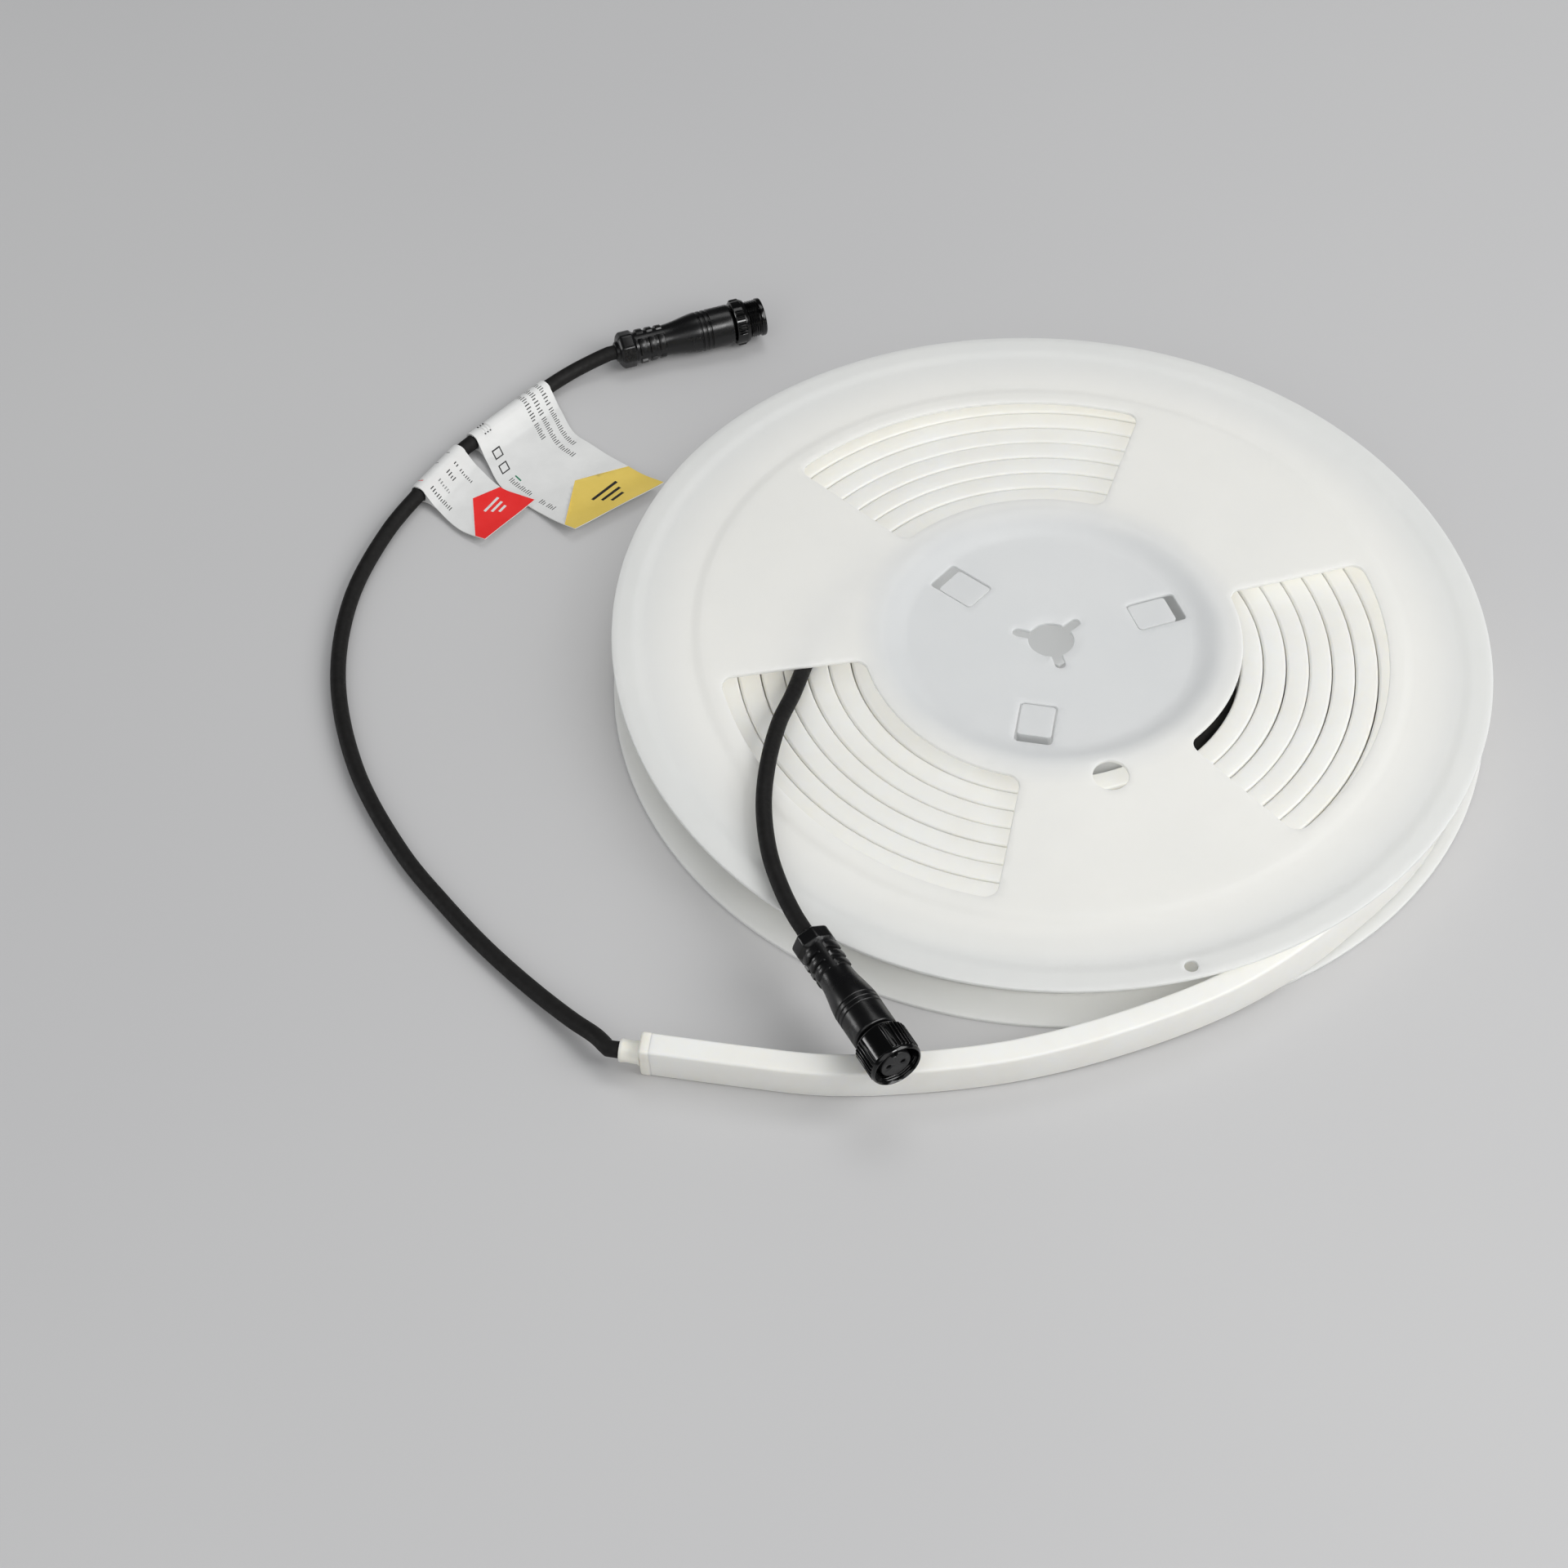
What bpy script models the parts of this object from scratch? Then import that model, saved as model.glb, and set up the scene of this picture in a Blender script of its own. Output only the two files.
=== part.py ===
# Side-lit neon flex strip wound on a clear-white reel, with its plug lead and socket lead

import math

import bmesh
import bpy
from mathutils import Matrix, Vector

# Overall fit between neighbouring pieces
GAP = 0.0003

# Reel
REEL_CENTRE_Y = 0.011404
REEL_RADIUS = 0.115
FLANGE_THICKNESS = 0.0011
RIM_EDGE = 0.0004
RIM_BAND = 0.0050
GROOVE_OUTER_SLOPE = 0.0035
GROOVE_WIDTH = 0.0120
GROOVE_INNER_SLOPE = 0.0030
GROOVE_DEPTH = 0.0005
HUB_TOP = 0.0191
HUB_RECESS = 0.0025
HUB_CONE = 0.0022
COLLAR_RADIUS = 0.0424
COLLAR_END_HEIGHT = 0.0090
COLLAR_WALL = 0.0014
CORE_WALL = 0.0014
SPINDLE_HOLE_RADIUS = 0.006
SPINDLE_NOTCH_REACH = 0.0104
SPINDLE_NOTCH_WIDTH = 0.0028
SPINDLE_NOTCH_ANGLE = math.radians(163)
WINDOW_INNER_RADIUS = 0.0500
WINDOW_OUTER_RADIUS = 0.0883
WINDOW_HALF_ANGLE = math.radians(33.6)
WINDOW_CORNER = 0.0035
WINDOW_ANGLE = math.radians(105)
TAB_ANGLE = math.radians(140)
TAB_CENTRE_RADIUS = 0.030
TAB_SLOT_LENGTH = 0.0135
TAB_SLOT_WIDTH = 0.0098
TAB_LENGTH = 0.0105
TAB_WIDTH = 0.0088
TAB_WALL = 0.0013
FINGER_HOLE_RADIUS = 0.0046
FINGER_HOLE_OFFSET = 0.00776
FINGER_HOLE_ANGLE = math.radians(284.79)
TIE_HOLE_RADIUS = 0.0017
TIE_HOLE_INSET = 0.00363
TIE_HOLE_ANGLE = math.radians(285.15)
CUT_MARGIN = 0.0035
DISC_SEGMENTS = 60

# The upper flange is bent: pushed up at the back left, pulled down at the front
LIFT_MEAN = -0.00105
LIFT_ONCE = 0.00275
LIFT_ONCE_PEAK = math.radians(130)
LIFT_TWICE = 0.00125
LIFT_TWICE_PEAK = math.radians(160)
LIFT_THRICE = 0.0006
LIFT_THRICE_PEAK = math.radians(176)
LIFT_POWER = 2.2

# Strip
STRIP_WIDTH = 0.00575
STRIP_HEIGHT = 0.012
STRIP_CORNER = 0.0006
TURN_PITCH = 0.006
STRIP_BASE = FLANGE_THICKNESS + 0.00025
INNER_END_ANGLE = math.radians(304)
INNER_END_CLEARANCE = 0.001528
INNER_END_TUCK = 0.0009
INNER_END_RADIUS = COLLAR_RADIUS + INNER_END_CLEARANCE + INNER_END_TUCK + STRIP_WIDTH / 2
LOOSE_TURN = 0.0017
RIM_CLEARANCE = 0.0015
WINDING_ROOM = REEL_RADIUS - RIM_CLEARANCE - LOOSE_TURN - STRIP_WIDTH / 2 - INNER_END_RADIUS
PART_TURN = -9.6 / 360
TURNS = math.floor(WINDING_ROOM / TURN_PITCH) + PART_TURN
TURN_STEP = math.radians(9)

# Run of strip that has left the reel: bearing in degrees, distance past the rim, height of its foot,
# outward lean in degrees
FREE_RUN = (
    (301.53, -0.00331, STRIP_BASE, 0),
    (288.72, 0.00093, STRIP_BASE, 4),
    (274.69, 0.00731, 0.0010, 6),
    (263.36, 0.01477, 0.0003, 9),
    (252.79, 0.02360, 0, 10),
    (245.60, 0.03094, 0, 10),
    (239.17, 0.03721, 0, 10),
    (231.45, 0.04739, 0, 10),
)
FREE_RUN_SPACING = 0.007

# End caps of the strip
CAP_WIDTH = 0.0066
CAP_HEIGHT = 0.0122
CAP_LENGTH = 0.0022
NECK_LENGTH = 0.0052
NECK_RADIUS = 0.0029

# Leads
CABLE_RADIUS = 0.0021
CABLE_SPACING = 0.0089
LEAD_STRAIGHT = 0.0025
LABEL_PAPER = 0.0003
LABEL_AXIS_HEIGHT = 0.0029

# Flag labels: how far each edge reaches from the lead, slant, and height of the flag along its length
TONE_LABEL_REACH = (0.0255, 0.0285)
TONE_LABEL_SKEW = -0.0045
TONE_LABEL_HEIGHTS = (0.0018, 0.0013, 0.0012, 0.0014, 0.0019, 0.0026)
TYPE_LABEL_REACH = (0.0460, 0.0520)
TYPE_LABEL_SKEW = -0.0065
TYPE_LABEL_HEIGHTS = (0.0012, 0.0006, 0.0004, 0.0004, 0.0006, 0.0012, 0.0022, 0.0036)

# Route of the plug lead from the outer end cap, over the floor, x, y, z
PLUG_LEAD_ROUTE = (
    (-0.1149, -0.1219, 0.0053),
    (-0.1212, -0.1159, 0.0040),
    (-0.1324, -0.1045, 0.0026),
    (-0.1441, -0.0918, 0.00225),
    (-0.1553, -0.0778, 0.0022),
    (-0.1664, -0.0622, 0.0022),
    (-0.1805, -0.0338, 0.0022),
    (-0.1880, -0.0018, 0.0022),
    (-0.1869, 0.0278, 0.00225),
    (-0.1793, 0.0522, 0.0026),
    (-0.1715, 0.0671, LABEL_AXIS_HEIGHT),
    (-0.1612, 0.0839, LABEL_AXIS_HEIGHT),
    (-0.1578, 0.0882, LABEL_AXIS_HEIGHT),
    (-0.1384, 0.1103, LABEL_AXIS_HEIGHT),
    (-0.1312, 0.1165, 0.0036),
    (-0.1247, 0.1203, 0.0048),
)

# Route of the socket lead round the hub, over the turns and out of a window
SOCKET_LEAD_HUB = (
    (322, 0.0467, 0.0074),
    (334, 0.0470, 0.0076),
    (346, 0.0475, 0.0080),
    (357, 0.0472, 0.0084),
    (15, 0.0465, 0.0090),
    (35, 0.0458, 0.0098),
    (60, 0.0452, 0.0112),
    (85, 0.0449, 0.0129),
    (105, 0.0450, 0.0144),
    (122, 0.0453, 0.0155),
    (132, 0.0461, 0.01575),
    (144, 0.0484, 0.01575),
    (158, 0.0525, 0.01575),
    (172, 0.0580, 0.01575),
    (185, 0.0635, 0.0160),
)
SOCKET_LEAD_OUT = (
    (-0.0676, -0.0209, 0.0176),
    (-0.0711, -0.0322, 0.0193),
    (-0.0740, -0.0485, 0.0207),
    (-0.0748, -0.0619, 0.0204),
    (-0.0733, -0.0758, 0.0194),
    (-0.0703, -0.0865, 0.0188),
    (-0.0672, -0.0946, 0.0188),
)

# Connectors: the middle of the tail face and a point at the nose of each
PLUG_TAIL = Vector((-0.1180, 0.1230, 0.0058))
PLUG_NOSE = Vector((-0.0752, 0.1375, 0.0072))
SOCKET_TAIL = Vector((-0.0634, -0.1022, 0.0190))
SOCKET_NOSE = Vector((-0.0427, -0.1414, 0.0199))
PLUG_LENGTH = 0.0435
SOCKET_LENGTH = 0.0442
MOULDING_LENGTH = 0.0340
MOULDING_SEGMENTS = 24
BARREL_RADIUS = 0.0058
TAIL_FLAT_RADIUS = 0.0050
STEM_RADIUS = 0.0033
STEM_DEPTH = 0.0030
CONTACT_OFFSET = 0.0019
PIN_RADIUS = 0.0005
NUT_RADIUS = 0.0068
NUT_RIBS = 36
NUT_BORE = 0.0056
SCREW_RING_RADIUS = 0.0067
SCREW_RING_RIBS = 20
SCREW_THREAD_RADIUS = 0.0053
SCREW_BORE = 0.0048
KNURL_DEPTH = 0.00035


def clear_scene():
    for item in list(bpy.data.objects):
        bpy.data.objects.remove(item, do_unlink=True)


def material(name, colour, roughness, metallic=0.0):
    made = bpy.data.materials.new(name)
    made.use_nodes = True
    shader = made.node_tree.nodes["Principled BSDF"]
    shader.inputs["Base Color"].default_value = (*colour, 1.0)
    shader.inputs["Roughness"].default_value = roughness
    shader.inputs["Metallic"].default_value = metallic
    made.diffuse_color = (*colour, 1.0)
    return made


def empty(name, location, parent=None, rotation=None):
    made = bpy.data.objects.new(name, None)
    bpy.context.collection.objects.link(made)
    made.empty_display_size = 0.01
    made.location = location
    if rotation is not None:
        made.rotation_mode = "QUATERNION"
        made.rotation_quaternion = rotation
    made.parent = parent
    return made


def add_object(name, mesh_builder, look, parent, smooth_angle=32):
    mesh = bpy.data.meshes.new(name)
    bmesh.ops.recalc_face_normals(mesh_builder, faces=mesh_builder.faces)
    mesh_builder.to_mesh(mesh)
    mesh_builder.free()
    if smooth_angle:
        for face in mesh.polygons:
            face.use_smooth = True
        mesh.set_sharp_from_angle(angle=math.radians(smooth_angle))
    made = bpy.data.objects.new(name, mesh)
    bpy.context.collection.objects.link(made)
    made.parent = parent
    if look is not None:
        mesh.materials.append(look)
    return made


def boolean(target, tool, operation="DIFFERENCE"):
    tool.hide_render = True
    tool.display_type = "WIRE"
    modifier = target.modifiers.new(tool.name, "BOOLEAN")
    modifier.operation = operation
    modifier.solver = "EXACT"
    modifier.object = tool


def turned(profile, segments, closed=False, shape=None):
    """Turns (radius, height) points about Z. A closed profile rings the axis, an open one ends on it."""
    shell = bmesh.new()
    rings = []
    for index, (radius, height) in enumerate(profile):
        if radius == 0:
            rings.append([shell.verts.new((0, 0, height))])
            continue
        ring = []
        for step in range(segments):
            angle = 2 * math.pi * step / segments
            reach = shape(index, radius, step, angle) if shape else radius
            ring.append(shell.verts.new((reach * math.cos(angle), reach * math.sin(angle), height)))
        rings.append(ring)
    pairs = list(zip(rings, rings[1:]))
    if closed:
        pairs.append((rings[-1], rings[0]))
    for low, high in pairs:
        for step in range(segments):
            after = (step + 1) % segments
            corners = [low[step % len(low)], low[after % len(low)]]
            corners += [high[after % len(high)], high[step % len(high)]]
            loop = list(dict.fromkeys(corners))
            shell.faces.new(loop)
    return shell


def prism(outline, low, high):
    """A straight block with the outline as its section."""
    block = bmesh.new()
    bottom = [block.verts.new((x, y, low)) for x, y in outline]
    top = [block.verts.new((x, y, high)) for x, y in outline]
    block.faces.new(bottom)
    block.faces.new(top)
    for step in range(len(outline)):
        after = (step + 1) % len(outline)
        block.faces.new((bottom[step], bottom[after], top[after], top[step]))
    return block


def circle_outline(radius, sides, centre=(0, 0)):
    points = []
    for step in range(sides):
        angle = 2 * math.pi * step / sides
        points.append((centre[0] + radius * math.cos(angle), centre[1] + radius * math.sin(angle)))
    return points


def box_outline(length, width, centre_radius, angle):
    """A rectangle whose long side points away from the reel's centre."""
    away = Vector((math.cos(angle), math.sin(angle)))
    across = Vector((-away.y, away.x))
    points = []
    for a, b in ((-1, -1), (1, -1), (1, 1), (-1, 1)):
        corner = away * (centre_radius + a * length / 2) + across * b * width / 2
        points.append((corner.x, corner.y))
    return points


def arc(centre, radius, start, end, steps):
    points = []
    for step in range(steps + 1):
        angle = start + (end - start) * step / steps
        points.append((centre[0] + radius * math.cos(angle), centre[1] + radius * math.sin(angle)))
    return points


def window_outline(middle):
    """A ring sector with round corners, centred on the given angle."""
    outer_centre = WINDOW_OUTER_RADIUS - WINDOW_CORNER
    inner_centre = WINDOW_INNER_RADIUS + WINDOW_CORNER
    outer_turn = WINDOW_HALF_ANGLE - math.asin(WINDOW_CORNER / outer_centre)
    inner_turn = WINDOW_HALF_ANGLE - math.asin(WINDOW_CORNER / inner_centre)
    side = WINDOW_HALF_ANGLE + math.pi / 2
    half = arc((0, 0), WINDOW_OUTER_RADIUS, 0, outer_turn, 4)[1:]
    place = (outer_centre * math.cos(outer_turn), outer_centre * math.sin(outer_turn))
    half += arc(place, WINDOW_CORNER, outer_turn, side, 4)[1:]
    place = (inner_centre * math.cos(inner_turn), inner_centre * math.sin(inner_turn))
    half += arc(place, WINDOW_CORNER, side, inner_turn + math.pi, 4)
    half += arc((0, 0), WINDOW_INNER_RADIUS, inner_turn, 0, 3)[1:-1]
    mirrored = [(x, -y) for x, y in reversed(half)]
    ends = [(WINDOW_OUTER_RADIUS, 0)]
    outline = ends + half + [(WINDOW_INNER_RADIUS, 0)] + mirrored
    turn = Matrix.Rotation(middle, 2)
    return [tuple(turn @ Vector(point)) for point in outline]


def flange_lift(x, y):
    """How far the bent upper flange stands above its flat height."""
    radius = math.hypot(x, y)
    along = (radius - COLLAR_RADIUS) / (REEL_RADIUS - COLLAR_RADIUS)
    if along <= 0:
        return 0
    share = 1 - (1 - min(along, 1)) ** LIFT_POWER
    angle = math.atan2(y, x)
    rim = LIFT_MEAN
    rim += LIFT_ONCE * math.cos(angle - LIFT_ONCE_PEAK)
    rim += LIFT_TWICE * math.cos(2 * (angle - LIFT_TWICE_PEAK))
    rim += LIFT_THRICE * math.cos(3 * (angle - LIFT_THRICE_PEAK))
    return share * rim


def smooth_route(points, spacing):
    """Points read at even steps from a smooth curve through the route."""
    points = [Vector(point) for point in points]
    ends = [2 * points[0] - points[1]] + points + [2 * points[-1] - points[-2]]
    fine = []
    for a, b, c, d in zip(ends, ends[1:], ends[2:], ends[3:]):
        knots = [0]
        for start, end in ((a, b), (b, c), (c, d)):
            knots.append(knots[-1] + max((end - start).length, 1e-6) ** 0.5)
        for step in range(24):
            t = knots[1] + (knots[2] - knots[1]) * step / 24
            ab = a.lerp(b, (t - knots[0]) / (knots[1] - knots[0]))
            bc = b.lerp(c, (t - knots[1]) / (knots[2] - knots[1]))
            cd = c.lerp(d, (t - knots[2]) / (knots[3] - knots[2]))
            abc = ab.lerp(bc, (t - knots[0]) / (knots[2] - knots[0]))
            bcd = bc.lerp(cd, (t - knots[1]) / (knots[3] - knots[1]))
            fine.append(abc.lerp(bcd, (t - knots[1]) / (knots[2] - knots[1])))
    fine.append(points[-1])
    lengths = [0]
    for start, end in zip(fine, fine[1:]):
        lengths.append(lengths[-1] + (end - start).length)
    count = max(2, round(lengths[-1] / spacing))
    even = []
    index = 0
    for step in range(count + 1):
        goal = lengths[-1] * step / count
        while index < len(fine) - 2 and lengths[index + 1] < goal:
            index += 1
        part = (goal - lengths[index]) / (lengths[index + 1] - lengths[index])
        even.append(fine[index].lerp(fine[index + 1], part))
    return even


def strip_centre(wound):
    """Place of the wound strip's middle, by the angle wound outwards from its inner end."""
    total = TURNS * 2 * math.pi
    radius = INNER_END_RADIUS + TURN_PITCH * wound / (2 * math.pi)
    near_end = max(0, 1 - wound / math.radians(50))
    radius -= INNER_END_TUCK * near_end ** 2 * (3 - 2 * near_end)
    loose = max(0, (wound - total + math.radians(300)) / math.radians(300))
    radius += LOOSE_TURN * loose ** 2 * (3 - 2 * loose)
    angle = INNER_END_ANGLE - wound
    return Vector((radius * math.cos(angle), radius * math.sin(angle), STRIP_BASE))


def strip_stations():
    """Foot, sideways and upward directions along the strip, from the inner end to the outer."""
    total = TURNS * 2 * math.pi
    places = []
    for step in range(int(total / TURN_STEP)):
        places.append((*strip_centre(step * TURN_STEP), 0))
    route = [(*strip_centre(total), 0)]
    for bearing, past_rim, height, lean in FREE_RUN:
        radius = REEL_RADIUS + past_rim
        way = math.radians(bearing)
        route.append((radius * math.cos(way), radius * math.sin(way), height, lean))
    flat = [Vector((x, y, z)) for x, y, z, lean in route]
    run = smooth_route(flat, FREE_RUN_SPACING)
    lean_marks = [(x, lean) for x, y, z, lean in route]
    for place in run:
        for (x0, lean0), (x1, lean1) in zip(lean_marks, lean_marks[1:]):
            if x1 <= place.x <= x0:
                lean = lean0 + (lean1 - lean0) * (x0 - place.x) / (x0 - x1)
                break
        places.append((*place, lean))
    stations = []
    for index, (x, y, z, lean) in enumerate(places):
        before = Vector(places[max(index - 1, 0)][:3])
        after = Vector(places[min(index + 1, len(places) - 1)][:3])
        ahead = (after - before).normalized()
        outward = Vector((ahead.y, -ahead.x, 0)).normalized()
        if outward.dot(Vector((x, y, 0))) < 0:
            outward.negate()
        tilt = math.radians(lean)
        side = outward * math.cos(tilt) - Vector((0, 0, math.sin(tilt)))
        up = Vector((0, 0, math.cos(tilt))) + outward * math.sin(tilt)
        foot = Vector((x, y, z + STRIP_WIDTH / 2 * math.sin(tilt)))
        stations.append((foot, side, up, ahead))
    return stations


def strip_mesh(stations):
    half = STRIP_WIDTH / 2
    cut = STRIP_CORNER
    section = [
        (-half + cut, 0),
        (half - cut, 0),
        (half, cut),
        (half, STRIP_HEIGHT - cut),
        (half - cut, STRIP_HEIGHT),
        (-half + cut, STRIP_HEIGHT),
        (-half, STRIP_HEIGHT - cut),
        (-half, cut),
    ]
    body = bmesh.new()
    rings = []
    for foot, side, up, ahead in stations:
        rings.append([body.verts.new(foot + side * a + up * b) for a, b in section])
    for low, high in zip(rings, rings[1:]):
        for step in range(len(section)):
            after = (step + 1) % len(section)
            body.faces.new((low[step], low[after], high[after], high[step]))
    body.faces.new(rings[0])
    body.faces.new(rings[-1])
    return body


def cap_frame(station, direction):
    """Where an end cap starts: along the strip, out of its end."""
    foot, side, up, ahead = station
    away = ahead * direction
    start = foot + up * STRIP_HEIGHT / 2 + away * GAP
    across = up.cross(away).normalized()
    turn = Matrix((across, up, away)).transposed().to_quaternion()
    return start, turn, away


def end_cap(name, station, direction, look, parent):
    start, turn, away = cap_frame(station, direction)
    w = CAP_WIDTH / 2
    h = CAP_HEIGHT / 2
    c = 0.0012
    outline = [(-w + c, -h), (w - c, -h), (w, -h + c), (w, h - c)]
    outline += [(w - c, h), (-w + c, h), (-w, h - c), (-w, -h + c)]
    block = add_object(name, prism(outline, 0, CAP_LENGTH), look, parent)
    root = CAP_LENGTH - 0.0008
    neck_profile = (
        (0, root),
        (NECK_RADIUS, root),
        (NECK_RADIUS, CAP_LENGTH + NECK_LENGTH - 0.0006),
        (NECK_RADIUS - 0.0004, CAP_LENGTH + NECK_LENGTH),
        (0, CAP_LENGTH + NECK_LENGTH),
    )
    neck = add_object(name + "_neck_tool", turned(neck_profile, 16), None, block)
    boolean(block, neck, "UNION")
    block.location = start
    block.rotation_mode = "QUATERNION"
    block.rotation_quaternion = turn
    mouth = start + away * (CAP_LENGTH + NECK_LENGTH + GAP)
    return [mouth, mouth + away * LEAD_STRAIGHT]


def lead(name, route, look, parent):
    curve = bpy.data.curves.new(name, "CURVE")
    curve.dimensions = "3D"
    curve.bevel_depth = CABLE_RADIUS
    curve.bevel_resolution = 3
    curve.use_fill_caps = True
    points = [route[0]] + smooth_route(route[1:-1], CABLE_SPACING) + [route[-1]]
    spline = curve.splines.new("POLY")
    spline.points.add(len(points) - 1)
    for slot, point in zip(spline.points, points):
        slot.co = (*point, 1)
    curve.materials.append(look)
    made = bpy.data.objects.new(name, curve)
    bpy.context.collection.objects.link(made)
    made.parent = parent
    return made


def flag_label(name, start, end, reach, skew, heights, look, parent):
    """A paper band folded round the lead, its two ends pressed together into a flag."""
    along = (end - start).normalized()
    span = (end - start).length
    out = Vector((along.y, -along.x, 0)).normalized()
    inner = CABLE_RADIUS + GAP
    outer = inner + LABEL_PAPER
    fold = [math.radians(-50 + 30 * step) for step in range(12)]
    paper = bmesh.new()
    sections = []
    for step in range(5):
        s = step / 4
        base = start + along * span * s
        ring_in = [paper.verts.new(base + out * inner * math.cos(a)
                                   + Vector((0, 0, inner * math.sin(a)))) for a in fold]
        ring_out = [paper.verts.new(base + out * outer * math.cos(a)
                                    + Vector((0, 0, outer * math.sin(a)))) for a in fold]
        flag_low = [ring_out[0]]
        flag_high = [ring_out[1]]
        for order, height in enumerate(heights, start=1):
            share = order / len(heights)
            away = outer + (reach[0] + (reach[1] - reach[0]) * s - outer) * share
            slide = skew * min(1, away / 0.02) ** 2 * (3 - 2 * min(1, away / 0.02))
            place = base + out * away + along * slide
            flag_low.append(paper.verts.new((place.x, place.y, height - LABEL_PAPER / 2)))
            flag_high.append(paper.verts.new((place.x, place.y, height + LABEL_PAPER / 2)))
        outline = ring_out[1:] + flag_low + flag_high[:0:-1]
        sections.append((ring_in, ring_out, flag_low, flag_high, outline))
    for first, second in zip(sections, sections[1:]):
        for loop in (0, 4):
            count = len(first[loop])
            for step in range(count):
                after = (step + 1) % count
                paper.faces.new((first[loop][step], first[loop][after],
                                 second[loop][after], second[loop][step]))
    for ring_in, ring_out, flag_low, flag_high, outline in (sections[0], sections[-1]):
        for step in range(12):
            after = (step + 1) % 12
            paper.faces.new((ring_in[step], ring_in[after], ring_out[after], ring_out[step]))
        for step in range(len(heights)):
            paper.faces.new((flag_low[step], flag_low[step + 1],
                             flag_high[step + 1], flag_high[step]))
    return add_object(name, paper, look, parent, smooth_angle=40)


def overmoulding(name, look, parent):
    """Flexible tail, waist and barrel, moulded in one piece over the end of a lead."""
    flat_rows = (1, 2, 3)
    rib_rows = (5, 6, 9, 10, 13, 14)
    profile = [
        (0, 0),
        (TAIL_FLAT_RADIUS - 0.0008, 0),
        (TAIL_FLAT_RADIUS, 0.0009),
        (TAIL_FLAT_RADIUS, 0.0044),
        (0.0046, 0.0058),
        (0.0050, 0.0058),
        (0.0050, 0.0078),
        (0.0044, 0.0080),
        (0.0044, 0.0086),
        (0.0049, 0.0088),
        (0.0049, 0.0106),
        (0.0044, 0.0108),
        (0.0044, 0.0114),
        (0.0048, 0.0116),
        (0.0048, 0.0134),
        (0.0045, 0.0138),
        (0.0045, 0.0168),
        (0.0050, 0.0204),
        (0.0057, 0.0234),
    ]
    for step in range(3):
        height = 0.0238 + 0.0014 * step
        profile += [(0.0058, height), (0.0055, height + 0.0003), (0.0058, height + 0.0006)]
    profile += [
        (BARREL_RADIUS, MOULDING_LENGTH - 0.0005),
        (BARREL_RADIUS - 0.0004, MOULDING_LENGTH),
        (STEM_RADIUS + GAP, MOULDING_LENGTH),
        (STEM_RADIUS + GAP, MOULDING_LENGTH - STEM_DEPTH),
        (0, MOULDING_LENGTH - STEM_DEPTH),
    ]

    def shape(index, radius, step, angle):
        if index in flat_rows:
            return radius / math.cos(angle % (math.pi / 4) - math.pi / 8)
        if index in rib_rows and step % 6 in (0, 1):
            return radius - 0.0005
        return radius

    return add_object(name, turned(profile, MOULDING_SEGMENTS, shape=shape), look, parent)


def knurled(ribbed_rows, per_rib):
    def shape(index, radius, step, angle):
        if index in ribbed_rows and step % per_rib == 0:
            return radius - KNURL_DEPTH
        return radius

    return shape


def contact_tools(name, radius, low, high, parent):
    tools = []
    for side in (-1, 1):
        outline = circle_outline(radius, 12, (side * CONTACT_OFFSET, 0))
        tools.append(add_object(f"{name}_{'ab'[side > 0]}_tool", prism(outline, low, high), None, parent))
    return tools


clear_scene()

reel_plastic = material("reel_plastic", (0.72, 0.74, 0.75), 0.38)
strip_silicone = material("strip_silicone", (0.88, 0.87, 0.82), 0.42)
cap_silicone = material("cap_silicone", (0.76, 0.73, 0.63), 0.36)
cable_jacket = material("cable_jacket", (0.021, 0.020, 0.019), 0.55)
moulding_black = material("moulding_black", (0.010, 0.010, 0.011), 0.34)
insert_black = material("insert_black", (0.016, 0.016, 0.017), 0.45)
label_paper = material("label_paper", (0.80, 0.81, 0.80), 0.4)
contact_brass = material("contact_brass", (0.78, 0.62, 0.32), 0.25, 1.0)

reel_centre = empty("reel_centre", (0, REEL_CENTRE_Y, 0))

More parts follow.
